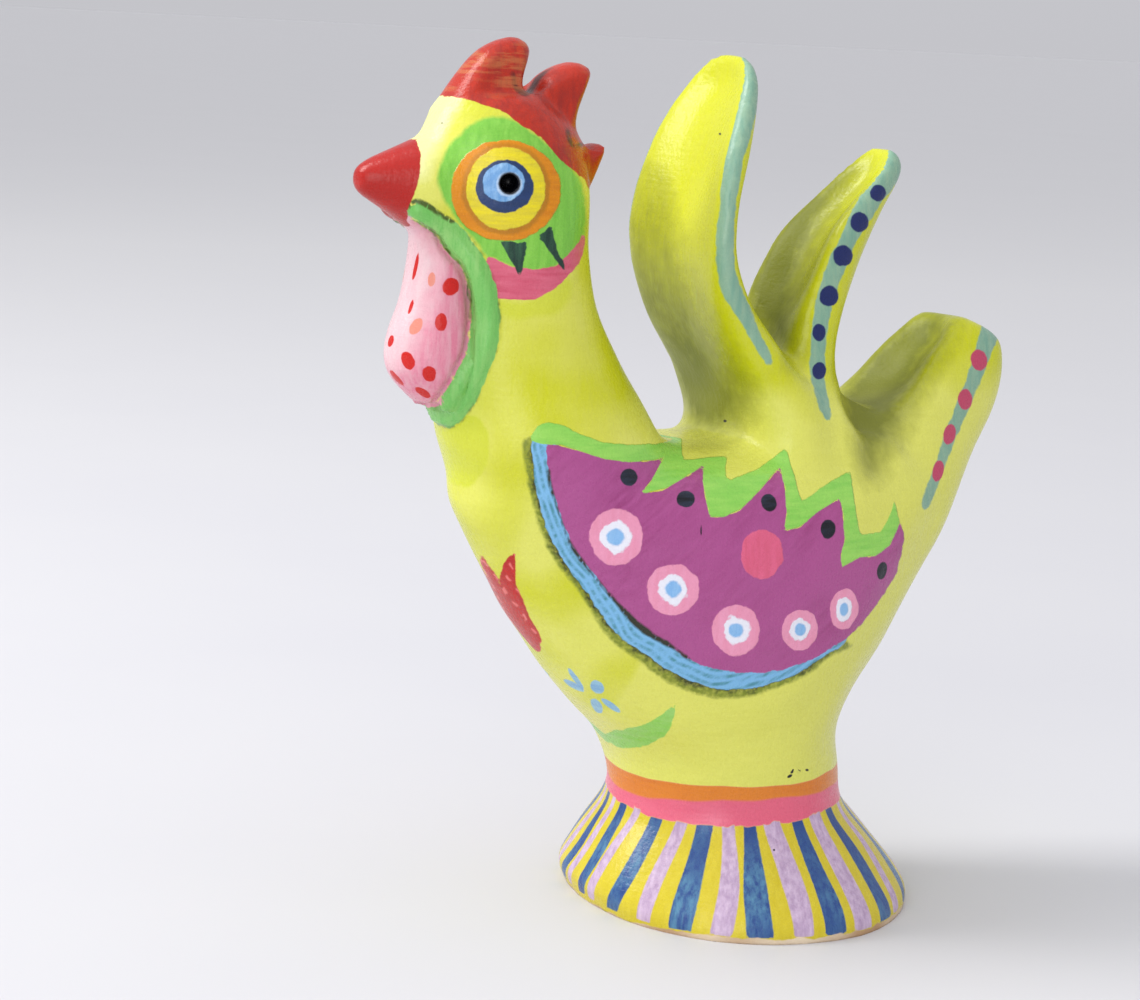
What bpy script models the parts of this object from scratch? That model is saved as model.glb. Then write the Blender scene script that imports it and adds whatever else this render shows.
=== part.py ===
"""A ceramic rooster whistle: one fired-clay bird on a flared foot, blown through its rearmost tail feather.

Metres, +Z up. The rooster faces -Y and is the same on both sides of the plane x = 0. It is modelled around
the middle of its foot, and then moved so that the origin is on the table under the middle of its length.
"""
import math

import bpy
import bmesh
from mathutils import Vector

# The whole height, from the table to the top of the comb
HEIGHT = 0.150

# Foot: a hollow flared skirt that stands on its rim
FOOT_RADIUS = 0.0323
FOOT_HEIGHT = 0.0190
FOOT_WALL = 0.0050
FOOT_CEILING = 0.0045

# Waist, where the foot meets the body
WAIST_RADIUS = 0.0210
WAIST_FORWARD = 0.0033

# Sound chamber inside the body
CHAMBER_WALL = 0.0060
CHAMBER_FLOOR = 0.0055

# Mouthpiece in the rearmost feather: a flat windway that ends at a window with a sloping lip
WINDWAY_WIDTH = 0.0070
WINDWAY_HEIGHT = 0.0018
WINDOW_LENGTH = 0.0062
LIP_SLOPE = math.radians(32)

# Pupils poked into the wet clay
PUPIL_RADIUS = 0.00165
PUPIL_DEPTH = 0.0060

# Surface made from the joined clay forms
CLAY_GRAIN = 0.0010
CLAY_SOFTENING = 22
FINE_GRAIN = 0.0007
FINE_SOFTENING = 7
CLAY_TRIANGLES = 7600
SECTION_POINTS = 40
CUTTER_POINTS = 28

# The figure's proportions, down to the pupil, below are millimetres on a rooster of this height
DRAWN_HEIGHT = 150.0
UNIT = HEIGHT / DRAWN_HEIGHT

# The glaze, as the lime yellow that covers most of it
GLAZE_COLOUR = (0.60, 0.62, 0.045, 1.0)
GLAZE_ROUGHNESS = 0.32

# Body sections from the waist up: height, centre y, half length, half width
BODY = [
    (25.0, -4.2, 21.0, 21.0),
    (31.5, -6.6, 22.8, 21.4),
    (39.0, -8.6, 28.6, 22.6),
    (46.5, -8.9, 34.4, 23.8),
    (54.0, -9.2, 39.6, 24.8),
    (61.5, -9.3, 44.2, 25.2),
    (70.0, -9.7, 49.0, 24.6),
    (75.5, -9.8, 50.8, 23.0),
    (79.5, -9.6, 48.6, 19.6),
    (82.6, -10.0, 41.0, 12.0),
]

# The sound chamber follows the body sections below this height
CHAMBER_TOP = 71.0

# Neck and head sections: height, centre y, half length, half width
NECK = [
    (60.0, -27.0, 19.0, 17.0),
    (69.0, -32.0, 23.4, 20.2),
    (77.0, -38.4, 21.2, 19.2),
    (84.0, -42.8, 19.8, 17.8),
    (90.3, -45.6, 17.8, 16.0),
    (96.5, -48.2, 15.6, 14.0),
    (103.3, -50.2, 13.8, 12.9),
    (109.0, -51.8, 13.0, 12.8),
    (117.0, -53.2, 13.6, 13.5),
    (124.0, -53.6, 14.7, 13.8),
    (130.5, -54.2, 14.5, 12.8),
    (136.0, -55.0, 12.6, 10.6),
    (140.8, -56.2, 8.4, 6.6),
]

# The face narrows to a muzzle behind the beak: y, centre height, half width, half height
MUZZLE = [
    (-52.0, 124.8, 12.4, 12.6),
    (-58.0, 125.0, 11.8, 11.8),
    (-63.0, 125.3, 10.4, 10.2),
    (-67.0, 125.5, 8.8, 8.8),
    (-70.6, 125.6, 7.4, 7.6),
]

# Beak sections along its axis: y, centre height, radius
BEAK = [
    (-62.0, 125.6, 7.2),
    (-69.0, 125.6, 7.7),
    (-71.0, 125.7, 7.0),
    (-74.5, 126.0, 5.2),
    (-78.0, 126.3, 3.4),
    (-80.3, 126.4, 1.9),
]

# Wattle sections: height, centre y, half length, half width
WATTLE = [
    (121.5, -65.0, 5.0, 4.4),
    (115.5, -65.0, 5.0, 6.2),
    (107.0, -65.0, 6.2, 7.4),
    (100.5, -65.6, 7.5, 8.0),
    (95.0, -65.6, 7.0, 7.4),
    (90.0, -63.4, 5.0, 5.4),
]

# Comb outline from the forehead round to the nape: y, height
COMB = [
    (-66.0, 136.0),
    (-64.6, 140.4),
    (-60.2, 146.8),
    (-56.2, 149.3),
    (-52.2, 149.9),
    (-49.9, 148.0),
    (-51.6, 143.2),
    (-50.4, 141.0),
    (-47.6, 144.2),
    (-43.6, 146.1),
    (-39.8, 146.2),
    (-38.4, 144.4),
    (-41.6, 137.0),
    (-41.0, 132.4),
    (-38.6, 132.2),
    (-35.4, 133.6),
    (-34.4, 131.8),
    (-37.6, 125.0),
    (-42.0, 122.0),
    (-52.0, 130.0),
]
# Half thickness of the comb up from the nape: height, half thickness
COMB_THICKNESS = [(122.0, 3.6), (130.0, 4.4), (135.0, 5.6), (141.0, 4.8), (150.0, 3.2)]

# Rump that joins the roots of the feathers: height, centre y, half length, half width
RUMP = [
    (68.0, 13.0, 24.0, 19.0),
    (78.0, 12.6, 21.6, 18.8),
    (84.0, 9.0, 17.0, 17.4),
    (88.5, 6.0, 12.4, 15.8),
    (92.5, 1.6, 7.0, 13.0),
]

# Tail feathers from front to back. Each line: centre y, centre height, half width, half thickness
FEATHERS = [
    [
        (0.0, 70.0, 19.5, 9.5),
        (-0.4, 79.0, 19.4, 8.6),
        (-2.8, 88.5, 17.8, 7.0),
        (-8.6, 97.0, 16.4, 5.6),
        (-15.3, 106.0, 15.8, 4.4),
        (-18.8, 115.0, 15.6, 3.7),
        (-18.9, 124.0, 15.4, 3.4),
        (-17.3, 132.0, 14.2, 3.3),
        (-14.8, 139.0, 12.4, 3.2),
        (-12.2, 145.0, 10.2, 2.9),
        (-11.0, 148.2, 7.6, 2.2),
    ],
    [
        (7.4, 70.0, 18.0, 10.0),
        (6.4, 79.0, 16.8, 9.0),
        (4.6, 88.5, 13.4, 7.6),
        (3.8, 97.0, 10.4, 6.9),
        (5.0, 106.0, 9.8, 7.2),
        (9.0, 116.0, 9.2, 7.0),
        (15.5, 124.8, 6.9, 5.5),
        (20.8, 130.2, 5.6, 4.2),
        (23.4, 132.8, 4.0, 3.0),
    ],
    [
        (15.0, 62.0, 18.0, 14.0),
        (21.6, 71.0, 16.0, 14.6),
        (27.2, 79.0, 12.8, 14.8),
        (32.4, 86.0, 9.8, 14.2),
        (37.4, 92.8, 8.4, 13.2),
        (41.2, 98.8, 7.8, 12.2),
        (43.4, 103.8, 6.8, 10.2),
    ],
]
FEATHER_DISH = [2.0, 3.6, 4.2]
FEATHER_SQUARENESS = 0.78

# Middle of the windway where the air goes in, above the tip, and where it comes out: y, height
WINDWAY_IN = (47.6, 112.0)
WINDWAY_OUT = (37.6, 75.0)

# Middle of the left pupil, which looks out and a little forwards
PUPIL = (12.6, -59.4, 126.9)
PUPIL_AIM = (0.90, -0.42, 0.0)


def clear_scene():
    """Empties the scene."""
    for obj in list(bpy.data.objects):
        bpy.data.objects.remove(obj, do_unlink=True)


def smooth_line(points, steps, closed=False):
    """Catmull-Rom curve through points of any number of values, with steps spans between neighbours."""
    count = len(points)
    spans = count if closed else count - 1
    line = []
    for i in range(spans):
        if closed:
            p0, p1, p2, p3 = (points[(i + k) % count] for k in (-1, 0, 1, 2))
        else:
            p0, p1, p2, p3 = (points[min(max(i + k, 0), count - 1)] for k in (-1, 0, 1, 2))
        for s in range(steps):
            t = s / steps
            line.append(tuple(
                b + 0.5 * t * ((c - a) + t * ((2 * a - 5 * b + 4 * c - d) + t * (3 * b - a - 3 * c + d)))
                for a, b, c, d in zip(p0, p1, p2, p3)))
    if not closed:
        line.append(tuple(points[-1]))
    return line


def skin(bm, rings, smooth=True):
    """Joins a row of closed rings into one closed skin with flat ends, which faces outwards."""
    loops = [[bm.verts.new(p) for p in ring] for ring in rings]
    faces = []
    for low, high in zip(loops, loops[1:]):
        for i in range(len(low)):
            j = (i + 1) % len(low)
            side = bm.faces.new((low[i], low[j], high[j], high[i]))
            side.smooth = smooth
            faces.append(side)
    faces.append(bm.faces.new(list(reversed(loops[0]))))
    faces.append(bm.faces.new(loops[-1]))
    bmesh.ops.recalc_face_normals(bm, faces=faces)


def section(centre, across, ahead, half_width, half_depth, dish=0.0, squareness=1.0, points=SECTION_POINTS):
    """An oval ring about centre. dish presses the face on the ahead side inwards along its middle."""
    ring = []
    for i in range(points):
        angle = 2 * math.pi * i / points
        side = math.copysign(abs(math.cos(angle)) ** squareness, math.cos(angle))
        depth = math.copysign(abs(math.sin(angle)) ** squareness, math.sin(angle))
        push = half_depth * depth
        if depth > 0:
            push -= dish * depth * (1 - side * side)
        ring.append(centre + across * (half_width * side) + ahead * push)
    return ring


def flat_sections(stations, steps=4, points=SECTION_POINTS):
    """Level oval rings from stations of height, centre y, half length and half width, in metres."""
    across, ahead = Vector((1, 0, 0)), Vector((0, 1, 0))
    rings = []
    for z, y, half_length, half_width in smooth_line(stations, steps):
        rings.append(section(Vector((0, y, z)), across, ahead, half_width, half_length, points=points))
    return rings


def scaled(rows):
    """Drawn millimetres as metres on this rooster."""
    return [tuple(value * UNIT for value in row) for row in rows]


def waist_station():
    """The narrowest section, where foot and body meet."""
    return (FOOT_HEIGHT, -WAIST_FORWARD, WAIST_RADIUS, WAIST_RADIUS)


def foot_stations():
    """Sections of the flared foot from under the table, for the cut that flattens its rim, to the waist."""
    rows = []
    for share, flare in ((-0.10, 0.96), (0.0, 0.98), (0.08, 1.0), (0.16, 0.96), (0.4, 0.70), (0.65, 0.39),
                         (0.88, 0.08)):
        radius = WAIST_RADIUS + (FOOT_RADIUS - WAIST_RADIUS) * flare
        rows.append((FOOT_HEIGHT * share, -WAIST_FORWARD * max(share, 0.0), radius, radius))
    return rows


def foot_and_body(bm):
    """Foot, waist and body as one form."""
    skin(bm, flat_sections(foot_stations() + [waist_station()] + scaled(BODY)))


def neck_and_head(bm):
    """Neck rising from the breast, and the head."""
    skin(bm, flat_sections(scaled(NECK)))


def muzzle(bm):
    """The front of the face, which narrows towards the beak."""
    across, down = Vector((1, 0, 0)), Vector((0, 0, -1))
    rings = []
    for y, z, half_width, half_height in smooth_line(scaled(MUZZLE), 4):
        rings.append(section(Vector((0, y, z)), across, down, half_width, half_height))
    skin(bm, rings)


def beak(bm):
    """A short cone with a blunt tip."""
    across, down = Vector((1, 0, 0)), Vector((0, 0, -1))
    rings = []
    for y, z, radius in smooth_line(scaled(BEAK), 4):
        rings.append(section(Vector((0, y, z)), across, down, radius, radius))
    skin(bm, rings)


def wattle(bm):
    """The fleshy lobe under the beak."""
    skin(bm, flat_sections(scaled(WATTLE)))


def comb_half_thickness(height):
    """Half the comb's thickness at a height, read off between the named heights."""
    rows = scaled(COMB_THICKNESS)
    for (low, thick_low), (high, thick_high) in zip(rows, rows[1:]):
        if height <= high:
            share = max(height - low, 0.0) / (high - low)
            return thick_low + (thick_high - thick_low) * share
    return rows[-1][1]


def comb(bm):
    """A thick three-lobed crest with rounded edges, thinner towards its top."""
    outline = smooth_line(scaled(COMB), 4, closed=True)
    count = len(outline)
    outwards = []
    for i in range(count):
        before, after = Vector(outline[i - 1]), Vector(outline[(i + 1) % count])
        along = (after - before).normalized()
        outwards.append(Vector((-along.y, along.x)))
    rings = []
    for level, inset in ((-1.0, 1.7), (-0.72, 0.6), (-0.3, 0.0), (0.3, 0.0), (0.72, 0.6), (1.0, 1.7)):
        ring = []
        for (y, z), outward in zip(outline, outwards):
            point = Vector((y, z)) - outward * (inset * UNIT)
            ring.append(Vector((level * comb_half_thickness(z), point.x, point.y)))
        rings.append(ring)
    skin(bm, rings)


def feather(bm, stations, dish):
    """One broad tail feather whose front face is dished."""
    line = smooth_line(scaled(stations), 4)
    count = len(line)
    rings = []
    for i, (y, z, half_width, half_depth) in enumerate(line):
        y0, z0 = line[max(i - 1, 0)][:2]
        y1, z1 = line[min(i + 1, count - 1)][:2]
        along = Vector((0, y1 - y0, z1 - z0)).normalized()
        ahead = Vector((0, -along.z, along.y))
        grow = min(max(3.0 * i / count - 0.6, 0.0), 1.0)
        rings.append(section(Vector((0, y, z)), Vector((-1, 0, 0)), ahead, half_width, half_depth,
                             dish * UNIT * grow, FEATHER_SQUARENESS))
    skin(bm, rings)


def pressed(name, forms, grain, softening):
    """One softened skin around the forms, which may overlap. Each form is a function that fills a mesh."""
    bm = bmesh.new()
    for form in forms:
        form(bm)
    mesh = bpy.data.meshes.new(name)
    bm.to_mesh(mesh)
    bm.free()
    lump = bpy.data.objects.new(name, mesh)
    bpy.context.collection.objects.link(lump)
    remesh = lump.modifiers.new("press together", 'REMESH')
    remesh.mode = 'VOXEL'
    remesh.voxel_size = grain
    soften = lump.modifiers.new("soften", 'SMOOTH')
    soften.factor = 0.5
    soften.iterations = softening
    skin_mesh = evaluated_copy(lump)
    bpy.data.objects.remove(lump, do_unlink=True)
    return skin_mesh


def tail(bm):
    """The three tail feathers and the rump that carries them."""
    skin(bm, flat_sections(scaled(RUMP)))
    for stations, dish in zip(FEATHERS, FEATHER_DISH):
        feather(bm, stations, dish)


def clay_object():
    """The whole bird in one skin: soft joins on the body, crisper ones on beak, wattle and comb."""
    figure = pressed("figure", (foot_and_body, neck_and_head, muzzle, tail), CLAY_GRAIN, CLAY_SOFTENING)

    def softened_figure(bm):
        bm.from_mesh(figure)

    fine = pressed("rooster", (softened_figure, beak, wattle, comb), FINE_GRAIN, FINE_SOFTENING)
    triangles = sum(len(face.vertices) - 2 for face in fine.polygons)
    fine.shade_smooth()
    fine.materials.append(glaze())
    rooster = bpy.data.objects.new("rooster", fine)
    bpy.context.collection.objects.link(rooster)
    thin = rooster.modifiers.new("fewer faces", 'DECIMATE')
    thin.ratio = CLAY_TRIANGLES / triangles
    return rooster


def glaze():
    """Semi-gloss glaze on fired clay."""
    material = bpy.data.materials.new("lime glaze")
    material.use_nodes = True
    surface = material.node_tree.nodes["Principled BSDF"]
    surface.inputs["Base Color"].default_value = GLAZE_COLOUR
    surface.inputs["Roughness"].default_value = GLAZE_ROUGHNESS
    surface.inputs["Metallic"].default_value = 0.0
    return material


def evaluated_copy(obj):
    """A new mesh with the object's modifiers applied."""
    graph = bpy.context.evaluated_depsgraph_get()
    return bpy.data.meshes.new_from_object(obj.evaluated_get(graph), depsgraph=graph)


def cutter(name, rings, smooth=False):
    """A closed form that is cut out of the clay and isn't seen itself."""
    bm = bmesh.new()
    skin(bm, rings, smooth)
    mesh = bpy.data.meshes.new(name)
    bm.to_mesh(mesh)
    bm.free()
    obj = bpy.data.objects.new(name, mesh)
    obj.display_type = 'WIRE'
    obj.hide_render = True
    bpy.context.collection.objects.link(obj)
    return obj


def cut(target, tool):
    """Takes the cutter's form out of the target."""
    boolean = target.modifiers.new(tool.name, 'BOOLEAN')
    boolean.operation = 'DIFFERENCE'
    boolean.solver = 'EXACT'
    boolean.object = tool


def table_cutter():
    """Everything below the table, which leaves the foot's rim flat."""
    reach = 2 * FOOT_RADIUS
    depth = FOOT_HEIGHT
    corners = [(-reach, -reach), (reach, -reach), (reach, reach), (-reach, reach)]
    return cutter("under the table", [[Vector((x, y, z)) for x, y in corners] for z in (-depth, 0.0)])


def foot_cutter():
    """The hollow under the foot, which leaves a wall that follows the flare."""
    ceiling = FOOT_HEIGHT - FOOT_CEILING
    rows = []
    for share, flare in ((-0.25, 1.0), (0.0, 1.0), (0.2, 0.93), (0.5, 0.68), (0.8, 0.40), (0.93, 0.24),
                         (1.0, -0.10)):
        radius = WAIST_RADIUS + (FOOT_RADIUS - WAIST_RADIUS) * flare - FOOT_WALL
        rows.append((ceiling * share, -WAIST_FORWARD * max(share, 0.0), radius, radius))
    return cutter("hollow foot", flat_sections(rows, 1, CUTTER_POINTS), smooth=True)


def chamber_cutter():
    """The sound chamber, a wall's thickness inside the body."""
    floor = FOOT_HEIGHT - FOOT_CEILING + CHAMBER_FLOOR
    low = WAIST_RADIUS - CHAMBER_WALL
    rows = []
    for rise, share in ((0.0, 0.55), (0.15, 0.85)):
        rows.append((floor + rise * low, -WAIST_FORWARD, share * low, share * low))
    for z, y, half_length, half_width in scaled(BODY):
        if z > rows[-1][0] + CHAMBER_WALL / 2 and z < CHAMBER_TOP * UNIT:
            rows.append((z, y, half_length - CHAMBER_WALL, half_width - CHAMBER_WALL))
    z, y, half_length, half_width = rows[-1]
    rows.append((z + 0.18 * half_width, y, half_length * 0.92, half_width * 0.82))
    rows.append((z + 0.32 * half_width, y, half_length * 0.76, half_width * 0.50))
    return cutter("sound chamber", flat_sections(rows, 1, CUTTER_POINTS), smooth=True)


def across_both_sides(name, outline, width):
    """A cutter with the same outline of y and z all across a width."""
    return cutter(name, [[Vector((x, y, z)) for y, z in outline] for x in (-width / 2, width / 2)])


def windway_line():
    """Start, end and direction of the windway's middle line."""
    start = Vector(WINDWAY_IN) * UNIT
    end = Vector(WINDWAY_OUT) * UNIT
    return start, end, (end - start).normalized()


def windway_cutter():
    """The flat channel that leads the breath down through the rearmost feather."""
    start, end, along = windway_line()
    half = Vector((-along.y, along.x)) * (WINDWAY_HEIGHT / 2)
    end = end + along * (WINDOW_LENGTH / 2)
    return across_both_sides("windway", [start - half, end - half, end + half, start + half], WINDWAY_WIDTH)


def window_cutter():
    """The window at the windway's end. Its lower side is the lip, whose outer face slopes down."""
    start, end, along = windway_line()
    edge = end + along * WINDOW_LENGTH
    reach = 2 * CHAMBER_WALL
    outer = Vector((edge.x + reach, edge.y - reach * math.tan(LIP_SLOPE)))
    outline = [Vector((end.x - reach, end.y)), Vector((end.x + reach, end.y)), outer, edge,
               Vector((edge.x - reach, edge.y))]
    return across_both_sides("window", outline, WINDWAY_WIDTH)


def pupil_cutter(side):
    """A round hole poked into the eye from its own side."""
    x, y, z = PUPIL
    centre = Vector((side * x, y, z)) * UNIT
    outwards = Vector((side * PUPIL_AIM[0], PUPIL_AIM[1], PUPIL_AIM[2])).normalized()
    up = Vector((0, 0, 1))
    across = up.cross(outwards)
    rings = []
    for along, share in ((-1.0, 0.35), (-0.85, 0.8), (0.0, 1.0), (1.0, 1.15)):
        ring = []
        for i in range(20):
            angle = 2 * math.pi * i / 20
            radius = PUPIL_RADIUS * share
            ring.append(centre + outwards * (along * PUPIL_DEPTH) + across * (radius * math.cos(angle))
                        + up * (radius * math.sin(angle)))
        rings.append(ring)
    return cutter("pupil left" if side > 0 else "pupil right", rings)


def place_in_middle(rooster):
    """Moves the bird, with its cutters, until the middle of its length is over the origin."""
    finished = evaluated_copy(rooster)
    lengthwise = [vertex.co.y for vertex in finished.vertices]
    bpy.data.meshes.remove(finished)
    rooster.location.y = -(min(lengthwise) + max(lengthwise)) / 2


def build():
    """Models the rooster."""
    clear_scene()
    rooster = clay_object()
    for tool in (table_cutter(), foot_cutter(), chamber_cutter(), windway_cutter(), window_cutter(),
                 pupil_cutter(1), pupil_cutter(-1)):
        tool.parent = rooster
        cut(rooster, tool)
    place_in_middle(rooster)


build()
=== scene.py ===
import math

import bpy
import bmesh
import numpy as np
from mathutils import Matrix, Vector


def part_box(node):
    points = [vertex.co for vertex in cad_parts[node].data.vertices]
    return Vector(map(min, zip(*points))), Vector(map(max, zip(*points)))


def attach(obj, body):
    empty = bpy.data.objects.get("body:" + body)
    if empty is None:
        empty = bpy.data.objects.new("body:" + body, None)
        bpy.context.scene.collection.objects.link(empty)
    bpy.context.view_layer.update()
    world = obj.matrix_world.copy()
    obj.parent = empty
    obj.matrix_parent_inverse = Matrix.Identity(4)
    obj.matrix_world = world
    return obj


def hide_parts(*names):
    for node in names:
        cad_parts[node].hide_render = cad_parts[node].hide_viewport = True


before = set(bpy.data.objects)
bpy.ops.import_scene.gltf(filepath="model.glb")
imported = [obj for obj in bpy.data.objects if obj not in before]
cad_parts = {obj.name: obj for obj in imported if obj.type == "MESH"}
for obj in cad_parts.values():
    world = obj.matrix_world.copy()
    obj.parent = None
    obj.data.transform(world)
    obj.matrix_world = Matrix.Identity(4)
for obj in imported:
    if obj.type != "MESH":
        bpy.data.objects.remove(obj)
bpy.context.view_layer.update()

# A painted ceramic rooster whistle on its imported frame: the clay skin in fine mesh, and its paint.
# The clay is drawn in millimetres around the middle of the foot, facing -Y, and is the same on both sides of
# x = 0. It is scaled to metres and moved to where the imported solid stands.
MM = 0.001

# Camera of the photograph, in the drawn millimetres
FRAME_WIDTH = 1140.0
FRAME_HEIGHT = 1000.0
FOCAL_PIXELS = 2738.0
SENSOR_WIDTH = 36.0
CAMERA_PLACE = (398.2, -267.9, 152.8)
CAMERA_AZIMUTH = math.radians(60.0)
CAMERA_PITCH = math.radians(9.9)
CAMERA_ROLL = math.radians(3.0)

# Foot and waist
FOOT_RADIUS = 32.3
FOOT_HEIGHT = 19.0
FOOT_WALL = 5.0
FOOT_CEILING = 4.5
WAIST_RADIUS = 21.0
WAIST_FORWARD = 3.3
# The foot's outer side and its hollow from the table up: share of the height, share of the flare
FOOT_FLARE = [(-0.1, 0.96), (0.0, 0.98), (0.08, 1.0), (0.16, 0.96), (0.4, 0.7), (0.65, 0.39),
              (0.88, 0.08), (1.0, 0.0)]
HOLLOW_FLARE = [(-0.25, 1.0), (0.0, 1.0), (0.2, 0.93), (0.5, 0.68), (0.8, 0.40), (0.93, 0.24), (1.0, -0.10)]

# Mouthpiece and pupils
WINDWAY_WIDTH = 7.0
WINDWAY_HEIGHT = 1.8
WINDOW_LENGTH = 6.2
WINDOW_DEPTH = 12.0
LIP_SLOPE = math.radians(32)
WINDWAY_IN = (47.6, 112.0)
WINDWAY_OUT = (37.6, 75.0)
PUPIL = (12.6, -59.4, 126.9)
PUPIL_AIM = (0.90, -0.42, 0.0)
PUPIL_RADIUS = 1.65
PUPIL_DEPTH = 6.0
PUPIL_TAPER = ((-1.0, 0.35), (-0.85, 0.8), (0.0, 1.0), (1.0, 1.15))
PUPIL_POINTS = 32

# Grain of the skin, how often it is smoothed, and how finely curves are drawn
CLAY_GRAIN = 1.0
CLAY_SOFTENING = 22
FINE_GRAIN = 0.71
FINE_SOFTENING = 10
SECTION_POINTS = 40
CURVE_STEPS = 4
LINE_STEPS = 3

# Body sections: height, centre y, half length, half width
BODY = [
    (25, -4.2, 21, 21), (31.5, -6.6, 22.8, 21.4), (39, -8.6, 28.6, 22.6), (46.5, -8.9, 34.4, 23.8),
    (54, -9.2, 39.6, 24.8), (61.5, -9.3, 44.2, 25.2), (70, -9.7, 49, 24.6), (75.5, -9.8, 50.8, 23),
    (79.5, -9.6, 48.6, 19.6), (82.6, -10, 41, 12),
]
# Neck and head sections
NECK = [
    (60, -27, 19, 17), (69, -32, 23.4, 20.2), (77, -38.4, 21.2, 19.2), (84, -42.8, 19.8, 17.8),
    (90.3, -45.2, 18.2, 16), (96.5, -47.6, 16.2, 14), (103.3, -49.6, 14.4, 12.9), (109, -51.2, 13.6, 12.8),
    (117, -52.9, 13.9, 13.5), (124, -53.6, 14.7, 13.8), (130.5, -54.2, 14.5, 12.8), (136, -55, 12.6, 10.6),
    (140.8, -56.2, 8.4, 6.6),
]
# Muzzle sections: y, centre height, half width, half height
MUZZLE = [
    (-52, 124.8, 12.4, 12.6), (-58, 125, 11.8, 11.8), (-63, 125.3, 10.4, 10.2), (-67, 125.5, 8.8, 8.8),
    (-70.6, 125.6, 7.4, 7.6),
]
# Beak sections: y, centre height, radius
BEAK = [
    (-62, 125.6, 7.2), (-69, 125.6, 7.7), (-71, 125.7, 7), (-74.5, 126, 5.2), (-78, 126.3, 3.4),
    (-80.3, 126.4, 1.9),
]
# Wattle sections: height, centre y, half length, half width
WATTLE = [
    (121.5, -65, 5, 4.4), (115.5, -65, 5, 6.2), (107, -65, 6.2, 7.4), (100.5, -65.6, 7.5, 8),
    (95, -65.6, 7, 7.4), (90, -63.4, 5, 5.4),
]
# Comb outline from the forehead round to the nape: y, height
COMB = [
    (-66, 136), (-64.6, 140.4), (-60.2, 146.8), (-56.2, 149.3), (-52.6, 149.9), (-50.6, 148),
    (-52.4, 142.6), (-51.8, 138.6), (-50.2, 138.8), (-48.4, 143.4), (-43.8, 146.1), (-40.3, 146.2),
    (-38.9, 144.4), (-42.2, 137), (-41.8, 131.8), (-39.8, 131.8), (-37, 133.4), (-36, 131.8), (-38.6, 125),
    (-42, 122), (-52, 130),
]
COMB_THICKNESS = [(122.0, 3.6), (130.0, 4.4), (135.0, 5.6), (141.0, 4.8), (150.0, 3.2)]
# The comb's rounding across its thickness: place from side to side, and how far its outline is drawn in
COMB_ROUNDING = [(-1.0, 1.7), (-0.72, 0.6), (-0.3, 0.0), (0.3, 0.0), (0.72, 0.6), (1.0, 1.7)]
# Rump sections: height, centre y, half length, half width
RUMP = [
    (68, 13, 24, 19), (78, 12.6, 21.6, 18.8), (84, 9, 17, 17.4), (88.5, 6, 12.4, 15.8), (92.5, 1.6, 7, 13),
]
# Tail feathers from front to back: centre y, centre height, half width, half thickness
FEATHERS = [
    [
        (0, 70, 19.5, 9.5), (-0.4, 79, 19.4, 8.6), (-2.8, 88.5, 17.8, 7), (-8.6, 97, 16.4, 5.6),
        (-15.3, 106, 16.2, 4.9), (-18.8, 115, 16.2, 4.2), (-18.7, 124, 16, 4.1), (-16.8, 132, 14.8, 4.1),
        (-14.3, 139, 12.6, 3.9), (-11.9, 145, 9.6, 3.3), (-10.9, 148.2, 6, 2.4), (-10.6, 149.2, 3.4, 1.5),
    ],
    [
        (7.4, 70, 18, 10), (6.4, 79, 16.8, 9), (4.6, 88.5, 13.8, 7.6), (3.6, 97, 11.8, 7),
        (4.7, 106.2, 10.7, 7.2), (8.9, 116.2, 9.6, 7.1), (15.5, 124.9, 7.4, 5.7), (20.8, 130.3, 5.9, 4.4),
        (23.5, 133.1, 4.2, 3.2),
    ],
    [
        (15, 62, 18, 14), (21.6, 71, 17, 14.4), (26.8, 79.2, 15.2, 14.2), (31.7, 86.4, 12, 13.9),
        (36.6, 93.2, 9.6, 13.7), (40.2, 98.5, 8.6, 11.6), (42.2, 102.8, 7.3, 7.8),
    ],
]
# The hollow down the front of each feather: depth, share of it near the tip, share of the width that it takes
FEATHER_HOLLOWS = [(4.6, 0.12, 1.0), (7.0, 0.12, 1.0), (9.0, 0.5, 0.96)]
FEATHER_SQUARENESS = 0.78



def smooth_line(line, steps, closed=False):
    """Catmull-Rom curve through points of any number of values, with steps spans between neighbours."""
    count = len(line)
    smooth = []
    for i in range(count if closed else count - 1):
        near = [i + k for k in (-1, 0, 1, 2)]
        p0, p1, p2, p3 = (line[k % count if closed else min(max(k, 0), count - 1)] for k in near)
        for s in range(steps):
            t = s / steps
            smooth.append(tuple(
                b + 0.5 * t * ((c - a) + t * ((2 * a - 5 * b + 4 * c - d) + t * (3 * b - a - 3 * c + d)))
                for a, b, c, d in zip(p0, p1, p2, p3)))
    return smooth if closed else smooth + [tuple(line[-1])]


def square(reach):
    """The corners of a level square about the middle."""
    return [(-reach, -reach), (reach, -reach), (reach, reach), (-reach, reach)]


def skin(bm, rings):
    """Joins a row of closed rings into one closed skin with flat ends, which faces outwards."""
    loops = [[bm.verts.new(p) for p in ring] for ring in rings]
    faces = []
    for low, high in zip(loops, loops[1:]):
        for i in range(len(low)):
            j = (i + 1) % len(low)
            faces.append(bm.faces.new((low[i], low[j], high[j], high[i])))
    faces.append(bm.faces.new(list(reversed(loops[0]))))
    faces.append(bm.faces.new(loops[-1]))
    bmesh.ops.recalc_face_normals(bm, faces=faces)


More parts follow.
